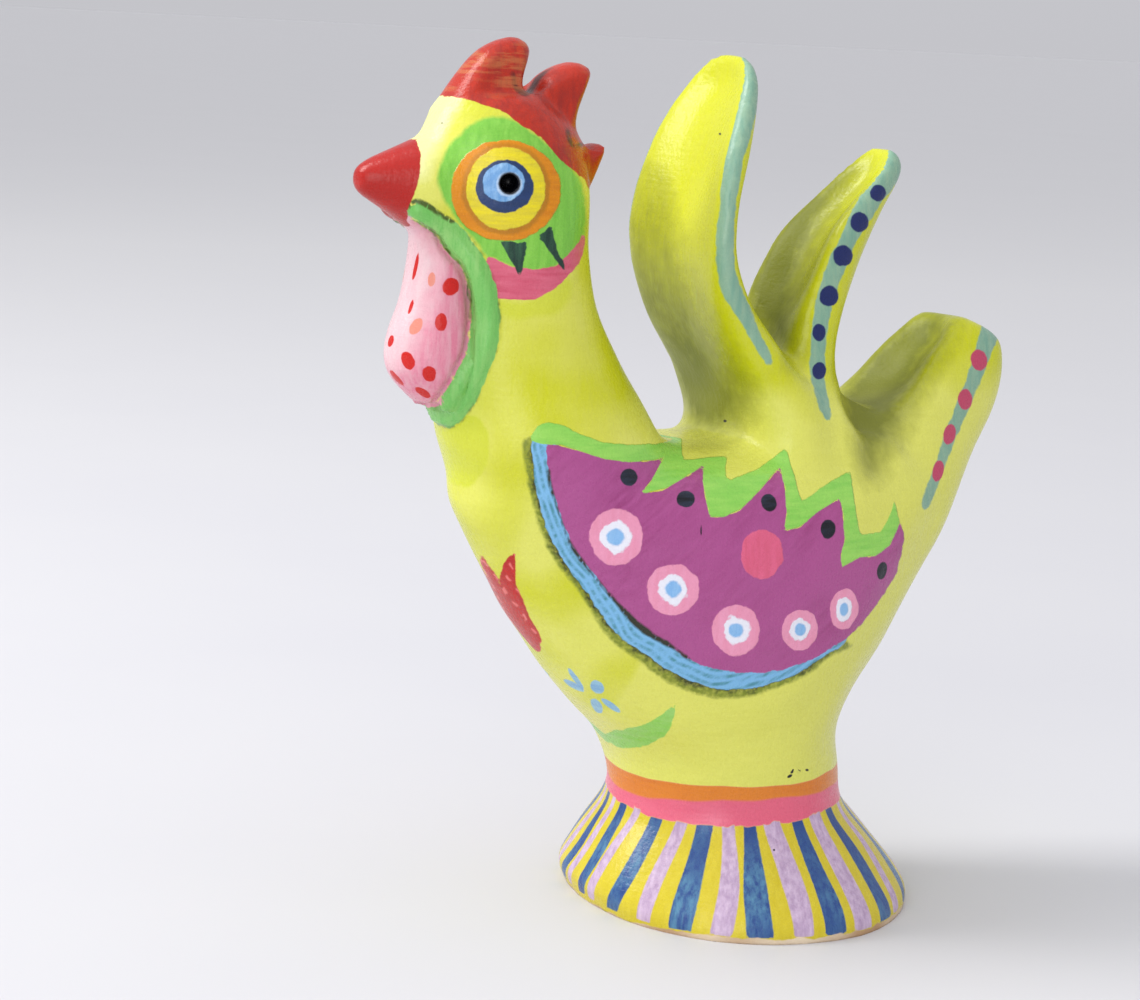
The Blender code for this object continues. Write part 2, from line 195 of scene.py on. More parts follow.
def section(centre, across, ahead, half_width, half_depth, squareness=1.0, dish=0.0, reach=1.0):
    """An oval ring about centre. dish presses its ahead side inwards, as far across as reach."""
    ring = []
    for i in range(SECTION_POINTS):
        angle = 2 * math.pi * i / SECTION_POINTS
        side = math.copysign(abs(math.cos(angle)) ** squareness, math.cos(angle))
        depth = math.copysign(abs(math.sin(angle)) ** squareness, math.sin(angle))
        push = half_depth * depth
        if depth > 0:
            push -= dish * depth * max(1 - (side / reach) ** 2, 0.0)
        ring.append(centre + across * (half_width * side) + ahead * push)
    return ring


def flared(profile, height, wall=0.0):
    """Level sections of the flared foot, or of its hollow inside a wall."""
    rows = []
    for share, flare in profile:
        radius = WAIST_RADIUS + (FOOT_RADIUS - WAIST_RADIUS) * flare - wall
        rows.append((height * share, -WAIST_FORWARD * max(share, 0.0), radius, radius))
    return rows


def level_form(stations, steps=CURVE_STEPS):
    """A form with level sections: height, centre y, half length and half width."""
    across, ahead = Vector((1, 0, 0)), Vector((0, 1, 0))
    return lambda bm: skin(bm, [section(Vector((0, y, z)), across, ahead, half_width, half_length)
                                for z, y, half_length, half_width in smooth_line(stations, steps)])


def upright_form(stations):
    """A form with upright sections: y, centre height, and half width and half height or one radius."""
    across, down = Vector((1, 0, 0)), Vector((0, 0, -1))
    return lambda bm: skin(bm, [section(Vector((0, row[0], row[1])), across, down, row[2], row[-1])
                                for row in smooth_line(stations, CURVE_STEPS)])


def comb(bm):
    """A thick three-lobed crest with rounded edges, thinner towards its top."""
    outline = smooth_line(COMB, CURVE_STEPS, closed=True)
    count = len(outline)
    heights, halves = zip(*COMB_THICKNESS)
    rings = []
    for level, inset in COMB_ROUNDING:
        ring = []
        for i, (y, z) in enumerate(outline):
            along = (Vector(outline[(i + 1) % count]) - Vector(outline[i - 1])).normalized()
            half = float(np.interp(z, heights, halves))
            ring.append(Vector((level * half, y + along.y * inset, z - along.x * inset)))
        rings.append(ring)
    skin(bm, rings)


def feather(bm, stations, dish, dish_end, reach):
    """One broad tail feather whose front face is dished, by less near its tip."""
    line = smooth_line(stations, CURVE_STEPS)
    count = len(line)
    rings = []
    for i, (y, z, half_width, half_depth) in enumerate(line):
        y0, z0 = line[max(i - 1, 0)][:2]
        y1, z1 = line[min(i + 1, count - 1)][:2]
        along = Vector((0, y1 - y0, z1 - z0)).normalized()
        ahead = Vector((0, -along.z, along.y))
        grow = min(max(3.0 * i / count - 0.6, 0.0), 1.0, max(5.0 * (1.0 - i / (count - 1)), dish_end))
        rings.append(section(Vector((0, y, z)), Vector((-1, 0, 0)), ahead, half_width, half_depth,
                             FEATHER_SQUARENESS, dish * grow, reach))
    skin(bm, rings)


def tail(bm):
    """The three tail feathers and the rump that carries them."""
    level_form(RUMP)(bm)
    for stations, hollow in zip(FEATHERS, FEATHER_HOLLOWS):
        feather(bm, stations, *hollow)


def linked(name, data):
    """A new object in the scene."""
    obj = bpy.data.objects.new(name, data)
    bpy.context.scene.collection.objects.link(obj)
    return obj


def new_object(name, fill):
    """A new object whose mesh the function fills."""
    bm = bmesh.new()
    fill(bm)
    mesh = bpy.data.meshes.new(name)
    bm.to_mesh(mesh)
    bm.free()
    return linked(name, mesh)


def applied(obj):
    """The object's mesh with its modifiers applied. The object is removed."""
    graph = bpy.context.evaluated_depsgraph_get()
    mesh = bpy.data.meshes.new_from_object(obj.evaluated_get(graph), depsgraph=graph)
    bpy.data.objects.remove(obj, do_unlink=True)
    return mesh


def pressed(forms, grain, softening):
    """One softened skin around the forms, which may overlap."""
    lump = new_object("lump", lambda bm: [form(bm) for form in forms])
    remesh = lump.modifiers.new("press together", 'REMESH')
    remesh.mode = 'VOXEL'
    remesh.voxel_size = grain
    soften = lump.modifiers.new("soften", 'SMOOTH')
    soften.factor = 0.5
    soften.iterations = softening
    return applied(lump)


def table_form(bm):
    """Everything below the table."""
    skin(bm, [[Vector((x, y, z)) for x, y in square(2 * FOOT_RADIUS)] for z in (-FOOT_HEIGHT, 0.0)])


def prism(bm, outline):
    """The outline of y and z, as wide as the windway."""
    half = WINDWAY_WIDTH / 2
    skin(bm, [[Vector((x, y, z)) for y, z in outline] for x in (-half, half)])


def windway_form(bm):
    """The flat channel down through the rearmost feather."""
    start, end = Vector(WINDWAY_IN), Vector(WINDWAY_OUT)
    along = (end - start).normalized()
    half = Vector((-along.y, along.x)) * (WINDWAY_HEIGHT / 2)
    end = end + along * (WINDOW_LENGTH / 2)
    prism(bm, [start - half, end - half, end + half, start + half])


def window_form(bm):
    """The window at the windway's end, with its sloping lip."""
    start, end = Vector(WINDWAY_IN), Vector(WINDWAY_OUT)
    edge = end + (end - start).normalized() * WINDOW_LENGTH
    outer = Vector((edge.x + WINDOW_DEPTH, edge.y - WINDOW_DEPTH * math.tan(LIP_SLOPE)))
    prism(bm, [Vector((end.x - WINDOW_DEPTH, end.y)), Vector((end.x + WINDOW_DEPTH, end.y)), outer, edge,
               Vector((edge.x - WINDOW_DEPTH, edge.y))])


def pupil_form(side):
    """A round hole poked into the eye from its own side."""
    centre = Vector((side * PUPIL[0], PUPIL[1], PUPIL[2]))
    outwards = Vector((side * PUPIL_AIM[0], PUPIL_AIM[1], PUPIL_AIM[2])).normalized()
    up = Vector((0, 0, 1))
    across = up.cross(outwards)
    rings = []
    for along, share in PUPIL_TAPER:
        radius = PUPIL_RADIUS * share
        turns = [2 * math.pi * i / PUPIL_POINTS for i in range(PUPIL_POINTS)]
        rings.append([centre + outwards * (along * PUPIL_DEPTH) + across * (radius * math.cos(a))
                      + up * (radius * math.sin(a)) for a in turns])
    return lambda bm: skin(bm, rings)


def clay_mesh():
    """The bird's skin in drawn millimetres, with its openings cut."""
    foot_and_body = level_form(flared(FOOT_FLARE, FOOT_HEIGHT) + BODY)
    figure = pressed((foot_and_body, level_form(NECK), upright_form(MUZZLE), tail),
                     CLAY_GRAIN, CLAY_SOFTENING)
    fine = pressed((lambda bm: bm.from_mesh(figure), upright_form(BEAK), level_form(WATTLE), comb),
                   FINE_GRAIN, FINE_SOFTENING)
    foot_hollow = level_form(flared(HOLLOW_FLARE, FOOT_HEIGHT - FOOT_CEILING, FOOT_WALL), 3)
    bird = linked("bird", fine)
    cutters = []
    for form in (table_form, foot_hollow, windway_form, window_form, pupil_form(1), pupil_form(-1)):
        tool = new_object("cutter", form)
        cut = bird.modifiers.new("cut", 'BOOLEAN')
        cut.operation = 'DIFFERENCE'
        cut.solver = 'EXACT'
        cut.object = tool
        cutters.append(tool)
    mesh = applied(bird)
    for tool in cutters:
        bpy.data.objects.remove(tool, do_unlink=True)
    return mesh


def points(*numbers):
    """The numbers as points of x and y."""
    return list(zip(numbers[::2], numbers[1::2]))


# Where the paint lies. Its outlines are drawn in the photograph's pixels, and each point of the left side,
# or of the right side mirrored, is looked up where that camera sees it.
# Pixels to a millimetre, a mark's value far off it, and how fast it ends where the clay turns away
PIXELS_PER_MM = 5.44
FAR = 60.0
EDGE_ON = 90.0
NO_DOT = 9.0
# How far past its edge the clay may turn from the camera: wherever it faces, or as far as a mark is seen
AROUND = -2.0
SEEN = -0.1
THROAT_TURN = -0.35
LINE_SEEN = -0.2
SEEN_FADE = 0.3

BEAK_EDGE = points(410, 138, 416, 141, 420, 150, 421, 160, 420, 172, 417, 185, 413, 197, 408, 208, 407, 217,
    404, 228, 401, 238, 380, 250, 330, 210, 330, 120)
BAND_OUTSIDE = points(408, 206, 416, 201, 428, 205, 440, 213, 456, 223, 466, 233, 475, 245, 484, 257,
    490, 270, 496, 286, 499, 304, 500, 320, 499, 336, 496, 352, 490, 368, 484, 384, 477, 399, 469, 412,
    460, 422, 450, 428, 441, 425, 434, 418, 424, 412)
WATTLE_EDGE = points(404, 208, 411, 218, 418, 223, 432, 232, 438, 237, 443, 247, 452, 257, 460, 265,
    465, 275, 468, 287, 470, 300, 471, 315, 470, 328, 468, 342, 466, 352, 461, 362, 457, 370, 452, 380,
    447, 388, 440, 398, 433, 407)
WING_TOP = points(531, 441, 540, 444, 560, 445, 580, 451, 605, 459, 630, 462, 655, 460, 664, 457, 652, 480,
    640, 494, 665, 489, 690, 474, 704, 464, 703, 482, 706, 500, 710, 517, 722, 517, 740, 510, 760, 490,
    780, 466, 785, 487, 787, 512, 784, 531, 800, 527, 817, 512, 840, 498, 843, 512, 845, 540, 841, 555,
    842, 567, 860, 557, 875, 556, 890, 545, 900, 522)
# Patches of paint: where on the clay, how far it may turn from the camera, whether its corners are round,
# and its outline
PATCHES = {
    "comb": ("crest", AROUND, True, points(400, 112, 444, 97, 460, 99, 475, 101, 490, 107, 503, 112,
        515, 120, 527, 128, 540, 137, 550, 148, 562, 161, 575, 172, 585, 181, 592, 190, 620, 200, 640, 0,
        400, 0)),
    # The forehead patch is a painted highlight: pale glare on the forehead.
    "forehead": ("head", AROUND, True, points(404, 120, 420, 84, 450, 84, 462, 96, 452, 116, 440, 140,
        432, 162, 424, 178, 404, 170)),
    "cheek_lemon": ("upper", SEEN, True, points(495, 298, 520, 302, 545, 292, 566, 276, 572, 290, 560, 312,
        538, 317, 505, 317)),
    "eye_patch": ("head", SEEN, True, points(438, 180, 439, 168, 444, 156, 453, 142, 465, 130, 475, 122,
        487, 117, 500, 116, 515, 121, 530, 131, 543, 140, 556, 151, 566, 161, 575, 172, 582, 183, 585, 197,
        586, 212, 586, 225, 584, 238, 577, 250, 566, 260, 552, 268, 537, 270.5, 523, 269, 508, 265,
        496, 260, 486, 257, 477, 243, 467, 232, 458, 221, 449, 208, 442, 196)),
    "crescent": ("head", SEEN, True, points(486, 258, 492, 257, 500, 261, 510, 266, 525, 269, 540, 269,
        555, 266, 565, 258, 575, 247, 582, 235, 585, 240, 582, 256, 574, 270, 562, 282, 550, 292, 535, 300,
        520, 304.5, 504, 306, 497, 300, 492, 288, 488, 275, 484, 265)),
    "lash_front": ("head", SEEN, False, points(501, 242, 509, 241, 519, 243, 527, 241, 526, 250, 523, 262,
        520, 277, 514, 265, 506, 252)),
    "lash_back": ("head", SEEN, False, points(538, 237, 545, 232, 551, 227, 554, 238, 558, 250, 563, 262,
        566, 271, 560, 266, 552, 255, 545, 244)),
    # The wattle's pale patch is a painted highlight on its lit front.
    "wattle_pale": ("throat", AROUND, True, points(400, 200, 412, 222, 426, 236, 436, 252, 438, 268,
        434, 282, 430, 300, 424, 318, 418, 334, 413, 352, 404, 366, 385, 374, 330, 372, 330, 200)),
    "breast_lemon": ("breast", -0.6, True, points(420, 410, 470, 415, 486, 428, 489, 450, 484, 470,
        470, 486, 455, 484, 430, 470)),
    "wing": ("body", SEEN, False, WING_TOP + points(904, 535, 902, 555, 895, 577, 880, 600, 865, 620,
        847, 639, 827, 651, 810, 660, 787, 669, 765, 672, 740, 673, 720, 670, 700, 665, 682, 655, 665, 643,
        645, 631, 625, 612, 605, 588, 587, 566, 571, 545, 562, 519, 551, 485, 547, 462, 546, 444)),
    "zigzag": ("back", SEEN, False, WING_TOP + points(898, 515, 895, 500, 888, 520, 880, 532, 860, 535,
        855, 505, 850, 471, 825, 485, 802, 502, 796, 482, 786, 448, 758, 469, 730, 480, 725, 477, 727, 456,
        705, 458, 683, 460, 682, 448, 681, 434, 667, 442, 655, 444, 630, 445, 605, 443, 585, 436, 560, 424,
        548, 422, 538, 426, 531, 435)),
    "wing_blue": ("body", SEEN, True, points(540, 436, 532, 443, 533, 462, 536, 487, 542, 515, 552, 541,
        565, 564, 580, 583, 595, 605, 612, 628, 628, 643, 648, 655, 666, 669, 686, 679, 710, 687, 735, 690,
        760, 687, 785, 679, 805, 669, 826, 655, 846, 640, 850, 600, 760, 560, 640, 500, 580, 460)),
    "wing_olive": ("body", SEEN, True, points(528, 440, 525, 452, 526, 470, 530, 494, 536, 520, 547, 547,
        560, 570, 575, 590, 590, 611, 605, 632, 622, 648, 642, 661, 660, 675, 682, 687, 706, 695,
        730, 697.5, 758, 694, 784, 686, 808, 675, 832, 656, 846, 640, 760, 600, 640, 560, 560, 450)),
    "tulip": ("body", SEEN, False, points(500, 586, 498, 578, 487, 562, 474, 549, 430, 540, 430, 600,
        500, 660, 533, 657, 540, 651, 541, 640, 536, 628, 528, 612, 521, 597, 516, 583, 515, 568, 516, 552,
        508, 557, 503, 564, 500, 573)),
    "leaf": ("body", SEEN, True, points(604, 736, 613, 745, 626, 748, 641, 747, 655, 742, 667, 732,
        674, 717, 675, 703, 669, 708, 661, 716, 650, 722, 635, 727, 618, 730)),
}
# Brushed lines, and a line of painted shade in the crease beside the wattle: where on the clay, half width
# and course
LINES = {
    "band_dark": ("throat", 2.4, points(408, 207, 413, 202, 421, 202, 432, 208, 441, 215, 452, 221)),
    "crease_shade": ("lobe", 1.6, points(418, 222, 432, 231, 440, 240, 452, 256, 462, 268, 467, 282,
        470, 300, 470, 318)),
    "wing_dark": ("body", 2.3, points(548, 470, 551, 488, 559, 514, 569, 541, 584, 564, 603, 587, 624, 611,
        644, 630, 664, 642, 681, 653, 690, 660)),
    "band_line": ("throat", 1.2, BAND_OUTSIDE[:-2]),
    "wattle_line": ("lobe", 1.1, WATTLE_EDGE[1:]),
}
# Painted shade along the comb's notches: half width and course
COMB_NOTCH_SHADE = [
    (2.6, points(513, 74, 515, 86, 520, 92.5, 528, 93, 536, 82, 545, 71, 552, 66)),
    (1.8, points(567, 130, 570, 141, 574, 147, 582, 144, 594, 139)),
]
# Stripes down the feathers' edges: where on the clay, and outline
STRIPES = {
    "stripe_one": ("first", points(742, 40, 741, 77, 735, 105, 727, 127, 722, 150, 720, 180, 720, 207,
        716, 232, 716, 257, 719, 284, 728, 303, 740, 321, 753, 343, 764, 361, 770, 365, 772, 357, 762, 337,
        750, 308, 741, 286, 735, 265, 734, 235, 736, 205, 741, 172, 747, 148, 754, 122, 760, 95, 766, 40)),
    "stripe_two": ("second", points(889, 140, 887, 160, 878, 174, 865, 190, 852, 210, 840, 238, 828, 262,
        820, 285, 814, 310, 811, 334, 810, 357, 811, 378, 817, 400, 824, 418, 831, 417, 827, 397, 825, 375,
        826, 345, 830, 317, 837, 290, 846, 267, 857, 240, 870, 220, 883, 200, 897, 183, 908, 160,
        908, 140)),
    "stripe_three": ("third", points(982, 300, 981, 325, 977, 345, 969, 370, 960, 395, 951, 417, 941, 445,
        933, 470, 921, 503, 928, 508, 940, 480, 949, 455, 960, 428, 967, 412, 977, 390, 985, 370, 993, 350,
        999, 330, 996, 300)),
}
# Olive paint and painted shade in the feathers' grooves, drawn as the camera sees them: where on the clay,
# and outline
SHADES = [
    ("first groove", points(636, 185, 652, 176, 664, 205, 674, 252, 690, 293, 710, 332, 728, 362, 744, 386,
        748, 406, 735, 428, 700, 436, 676, 412, 658, 372, 640, 332, 632, 290, 630, 244)),
    ("second groove", points(738, 290, 748, 256, 764, 226, 786, 200, 816, 176, 846, 158, 858, 162, 858, 178,
        846, 200, 828, 228, 813, 256, 803, 288, 799, 318, 800, 346, 790, 356, 760, 334)),
    ("third groove", points(826, 404, 844, 374, 866, 346, 890, 324, 920, 306, 950, 304, 948, 330, 936, 356,
        924, 380, 912, 402, 902, 426, 890, 450, 880, 470, 866, 474, 846, 452, 832, 430)),
]

# Dots and strokes: where on the clay, then of each the centre x and y, half width and half height, and the
# turn clockwise in degrees
DOTS = {
    "wing_dots": ("side", [(629, 477, 8.6, 8.8, 0), (685.5, 499, 9.2, 8.6, 0), (769, 502.5, 7.4, 8.8, -30),
        (828, 529, 7.4, 10, 0), (882, 570.5, 5, 9, 12), (701.5, 531, 0.9, 6, 0)]),
    "wing_discs": ("side", [(616, 537, 26.5, 28.5, 0), (673, 589.5, 26.5, 25.5, 0),
        (736, 630.5, 24, 25.5, 0), (800, 630, 18, 20.5, 15), (844, 609, 14, 20.5, 8)]),
    "coral": ("side", [(762, 554, 21, 24.5, 0)]),
    "strokes": ("side", [(575.5, 678.5, 2.4, 13, -36), (597, 687, 5.4, 7.8, -50),
        (596.7, 705.5, 4.2, 8.6, -35)]),
    "thin_strokes": ("side", [(574, 685.5, 2.7, 12, -60), (611, 705.5, 2.9, 11.5, -54)]),
    "navy_dots": ("second", [(878, 193, 8, 8.4, 0), (859.5, 222, 9, 10, 0), (843, 255.5, 9.6, 11, 0),
        (829, 296, 9.4, 10.6, 0), (819, 332.5, 6.6, 8.8, 0), (819, 371, 7, 9, 0)]),
    "pink_dots": ("third", [(979, 360, 8.2, 10.4, -12), (965, 399.5, 7, 10.4, 0), (949.5, 434.5, 6, 10, 10),
        (938, 471, 5.6, 10.4, 10)]),
    "specks": ("left", [(790, 776, 2.6, 1.3, -30), (793, 770, 1.1, 1.1, 0), (807, 770, 1.8, 1.4, 0),
        (720, 134, 1.2, 1.2, 0), (725, 421, 1.8, 1.3, 0), (657, 284, 1.4, 1.4, 0), (442, 123, 1.0, 0.7, 0),
        (774, 850, 1.0, 1.0, 0)]),
}
EYE_PLACE = (500.0, 190.0)
EYE_BEYOND = 200.0
PUPIL_EDGE = 1.1
# Rings of the eye, the last a painted highlight round the pupil: middle from the eye's place, and half width
# and half height
EYE_RINGS = {
    "orange": ((5.8, 0.6), (55.0, 50.5)), "seam": ((5.6, -1.2), (44.0, 46.0)),
    "yellow": ((5.8, -1.5), (39.5, 41.5)), "navy": ((4.7, -3.5), (28.8, 26.6)),
    "sky": ((3.4, -7.2), (21.0, 19.2)), "pupil_highlight": ((9.2, -5.6), (12.6, 12.4)),
}
DISC_WHITE_REACH = 0.57
DISC_BLUE_REACH = 0.31
TULIP_PLACE = (506.0, 600.0)
# Rows of dashes on the tulip: their turn, how far apart they are, and their half sizes as shares of that
DASH_TURN = math.radians(35.0)
DASH_APART = (9.5, 16.5)
DASH_SIZE = (0.11, 0.22)

# Limits of the red under the beak, of the wattle's lobe and of the green band, in millimetres
UNDER_BEAK_SIDE = 1.8
UNDER_BEAK_BACK = -71.2
UNDER_BEAK_LOW = 118.8
LOBE_FRONT = -67.0
LOBE_BACK = -66.0
LOBE_TOP = 119.0
LOBE_BOTTOM = 84.0
BAND_INNER = 2.2
# How the wattle's outline grows round its front: as far across as this, by so many pixels a millimetre
LOBE_ROUND = 4.0
LOBE_GROWTH = 2.5
# Where the feathers' stripes end by how far the clay faces outwards, and the limits of the olive paint and
# painted shade in the grooves and of the lemon tail, in millimetres
STRIPE_TURN_RIGHT = 0.3
STRIPE_TURN_LEFT = 0.05
FIRST_GROOVE_TOP = 120.0
FIRST_GROOVE_FADE = 0.9
SECOND_GROOVE_FRONT = -4.5
THIRD_GROOVE_FRONT = 9.5
TAIL_LOW = 92.0
TAIL_FRONT = -34.0
TAIL_FADE = 6.0
# Bare clay: height of the rim, how much more where it shows on the left, the angles of that with their fades,
# the highest that it goes in the hollow, and its mark's value far off
BARE_RIM = 0.3
BARE_RIM_MORE = 0.75
BARE_RIM_ANGLES = ((20.0, 30.0), (150.0, 20.0))
BARE_TOP = 16.0
BARE_FAR = 3.0
# Dots on the wattle, in millimetres: turn in degrees round its axis from the front, height, half width, half
# height, and the turn of the dot itself
WATTLE_AXIS_Y = -62.0
WATTLE_RADIUS = 9.4
WATTLE_DOTS = [(12, 112.5, 0.6, 2.2, 6), (59.4, 109.8, 1.55, 1.4, -12), (16, 106.1, 0.42, 1.2, 10),
               (51, 104.2, 1.0, 1.5, 0), (-1, 100.2, 0.75, 1.0, 20), (22, 97.6, 1.1, 1.45, -22),
               (42, 95.7, 1.1, 1.3, 0), (3, 94.3, 1.5, 0.85, 40), (31, 92.3, 1.35, 0.85, 24),
               (-59, 109.2, 1.5, 1.4, 12), (-24, 97.0, 1.1, 1.4, 20), (-47, 97.6, 1.2, 1.4, 0),
               (-33, 91.8, 1.3, 0.9, -24)]
WATTLE_PALE_DOTS = [(37, 110.8, 0.72, 1.15, 0), (26.5, 103.1, 0.9, 1.4, 24), (-40, 104.6, 1.0, 1.4, 0),
                    (-24, 110.6, 0.75, 1.2, 0)]

# Foot stripes: angle from the front towards the left side at the top, half way and at the rim, then the half
# width in degrees at the top and at the rim. The last rows go on round the back.
BLUE_STRIPES = [(-15, -13.5, -22, 2.8, 2.4), (3, 1, -4.5, 2.9, 2.4), (25, 20.5, 14, 3.4, 2.7),
                (49, 44.5, 41, 3.9, 3.6), (70, 67, 66, 3.3, 4.2), (94.6, 92.6, 89.6, 3.5, 3.9),
                (119.5, 117.5, 113.5, 3.7, 3.7), (148, 143, 133, 3.0, 3.2), (172, 166, 158, 3.6, 3.8),
                (196, 193, 185, 3.4, 3.6), (218, 216, 210, 3.9, 3.8), (241, 238, 236, 3.6, 4.0),
                (263, 262, 259, 3.4, 3.6), (286, 285, 283, 3.8, 3.4), (307, 308, 305, 3.4, 3.2),
                (326, 327, 320, 3.0, 2.8)]
LILAC_STRIPES = [(-6, -8, -15, 2.2, 1.9), (13, 7, 2.5, 2.3, 2.0), (38, 31.7, 28, 3.0, 2.4),
                 (60, 58, 53.5, 3.2, 3.4), (81, 81.5, 79, 4.7, 3.2), (106.5, 104.3, 100.7, 4.6, 3.7),
                 (134, 128.5, 121.5, 2.8, 2.7), (160, 154, 145, 3.0, 3.2), (184, 179, 171, 3.4, 3.0),
                 (207, 205, 198, 3.6, 3.6), (230, 227, 223, 3.4, 3.2), (252, 250, 247, 3.8, 3.2),
                 (275, 273, 271, 3.2, 3.4), (297, 296, 294, 3.6, 3.4), (317, 318, 313, 3.2, 2.8),
                 (336, 337, 329, 2.6, 2.2)]
STRIPE_TOP = 17.5
STRIPE_END = 1.2
STRIPE_ENDING = 1.2
BEND_STEPS = 6

# Bands above the foot: angle, and the heights of the orange's top, of where both meet, of the pink's edge
BAND_ANGLES = [-180, -120, -60, -10, 20, 57, 92, 120, 180]
ORANGE_TOP = [24.6, 25.0, 24.4, 24.2, 23.9, 24.8, 24.6, 25.2, 24.6]
BANDS_MEET = [22.2, 22.0, 21.4, 20.8, 20.8, 22.3, 22.6, 22.4, 22.2]
PINK_EDGE = [18.2, 17.7, 18.4, 18.2, 17.4, 17.5, 18.1, 18.7, 18.2]

# The rim isn't quite round: angle, and how far it stands out at its widest and at the table
RIM_ANGLES = [-180, -120, -75, -34, -15, 7, 20, 38, 51, 70, 100, 123, 140, 180]
RIM_WIDEST = [0.0, 0.6, 0.7, 0.0, -0.6, -0.8, -0.5, 0.1, 0.7, 1.2, 1.3, 0.4, 0.0, 0.0]
RIM_LOWEST = [-0.4, 0.2, 0.3, -1.2, -2.0, -1.9, -1.0, 0.0, 0.9, 1.4, 1.4, 0.2, -0.4, -0.4]
RIM_REACH = 14.0
RIM_CURL = 5.0
RIM_INNER = 8.0
RIM_LEFT_FLAT = 0.3
RIM_SETTLED = 2.0

# Waves of the hand-made surface: their crests' direction in radians per millimetre, and their start
HAND_WAVES = [((0.22, 0.31, 0.12), 0.4), ((-0.27, 0.18, 0.25), 1.9), ((0.10, -0.36, 0.30), 4.1),
              ((0.41, 0.05, -0.28), 2.7), ((-0.08, 0.24, -0.46), 5.3), ((0.33, -0.30, 0.37), 0.9)]
HAND_DEPTH = 0.32
BAND_RELIEF = 1.3
BAND_SPREAD = 1.0
BAND_RISE = 8.0
CREASE_DEPTH = 0.9
CREASE_WIDTH = 3.6
CREASE_START = 6

# Places smoothed by the thumb: centre on the left side, and radius
THUMBED = [((4.0, -14.0, 86.0), 11.0), ((14.0, -7.0, 87.0), 10.0), ((18.0, 3.0, 88.0), 8.0),
           ((15.0, 9.0, 92.0), 7.0)]
THUMB_STROKES = 30
# Hollows pressed into the clay: centre on the left side, radius and depth
HOLLOWS = [((13.5, 14.0, 88.5), 8.0, 3.4), ((18.5, 13.0, 82.5), 6.5, 2.0)]


def camera_axes():
    """Right, up and forward of the camera."""
    forward = np.array([-math.sin(CAMERA_AZIMUTH) * math.cos(CAMERA_PITCH),
                        math.cos(CAMERA_AZIMUTH) * math.cos(CAMERA_PITCH), -math.sin(CAMERA_PITCH)])
    level = np.array([math.cos(CAMERA_AZIMUTH), math.sin(CAMERA_AZIMUTH), 0.0])
    upright = np.cross(level, forward)
    right = level * math.cos(CAMERA_ROLL) + upright * math.sin(CAMERA_ROLL)
    up = upright * math.cos(CAMERA_ROLL) - level * math.sin(CAMERA_ROLL)
    return right, up, forward


def drawn_places(places):
    """Pixel places in the photograph of points in the drawn millimetres."""
    right, up, forward = camera_axes()
    away = places - np.array(CAMERA_PLACE)
    depth = away @ forward
    return np.stack([FRAME_WIDTH / 2 + FOCAL_PIXELS * (away @ right) / depth,
                     FRAME_HEIGHT / 2 - FOCAL_PIXELS * (away @ up) / depth], axis=1)


def faces_camera(places, normals):
    """One where the surface looks straight at the photograph's camera, nought where it is seen edge on."""
    to_camera = np.array(CAMERA_PLACE) - places
    return (normals * to_camera).sum(1) / np.linalg.norm(to_camera, axis=1)


def line_distance(places, line):
    """Distance from each place to an open line."""
    best = np.full(len(places), 1e9)
    for a, b in zip(line[:-1], line[1:]):
        a, b = np.array(a, float), np.array(b, float)
        ab = b - a
        t = np.clip(((places - a) @ ab) / (ab @ ab), 0.0, 1.0)
        best = np.minimum(best, np.linalg.norm(places - a - t[:, None] * ab, axis=1))
    return best


def inside_by(places, outline, rounded=True):
    """How far inside a closed outline each place is. It is negative outside."""
    line = smooth_line(outline, CURVE_STEPS, closed=True) if rounded else list(outline)
    ring = line + [line[0]]
    distance = line_distance(places, ring)
    inside = np.zeros(len(places), bool)
    x, y = places[:, 0], places[:, 1]
    for (x0, y0), (x1, y1) in zip(ring[:-1], ring[1:]):
        if y0 != y1:
            crosses = (y0 > y) != (y1 > y)
            inside ^= crosses & (x < (x1 - x0) * (y - y0) / (y1 - y0) + x0)
    return np.where(inside, distance, -distance)


def gentle(share):
    """A smooth rise from nought to one."""
    share = np.clip(share, 0.0, 1.0)
    return share * share * (3.0 - 2.0 * share)


def foot_places(places):
    """Angle in degrees round the foot's leaning axis, from the front towards the left side, and radius."""
    along = places[:, 1] + WAIST_FORWARD * np.clip(places[:, 2] / FOOT_HEIGHT, 0.0, 1.0)
    return np.degrees(np.arctan2(places[:, 0], -along)), np.hypot(places[:, 0], along)


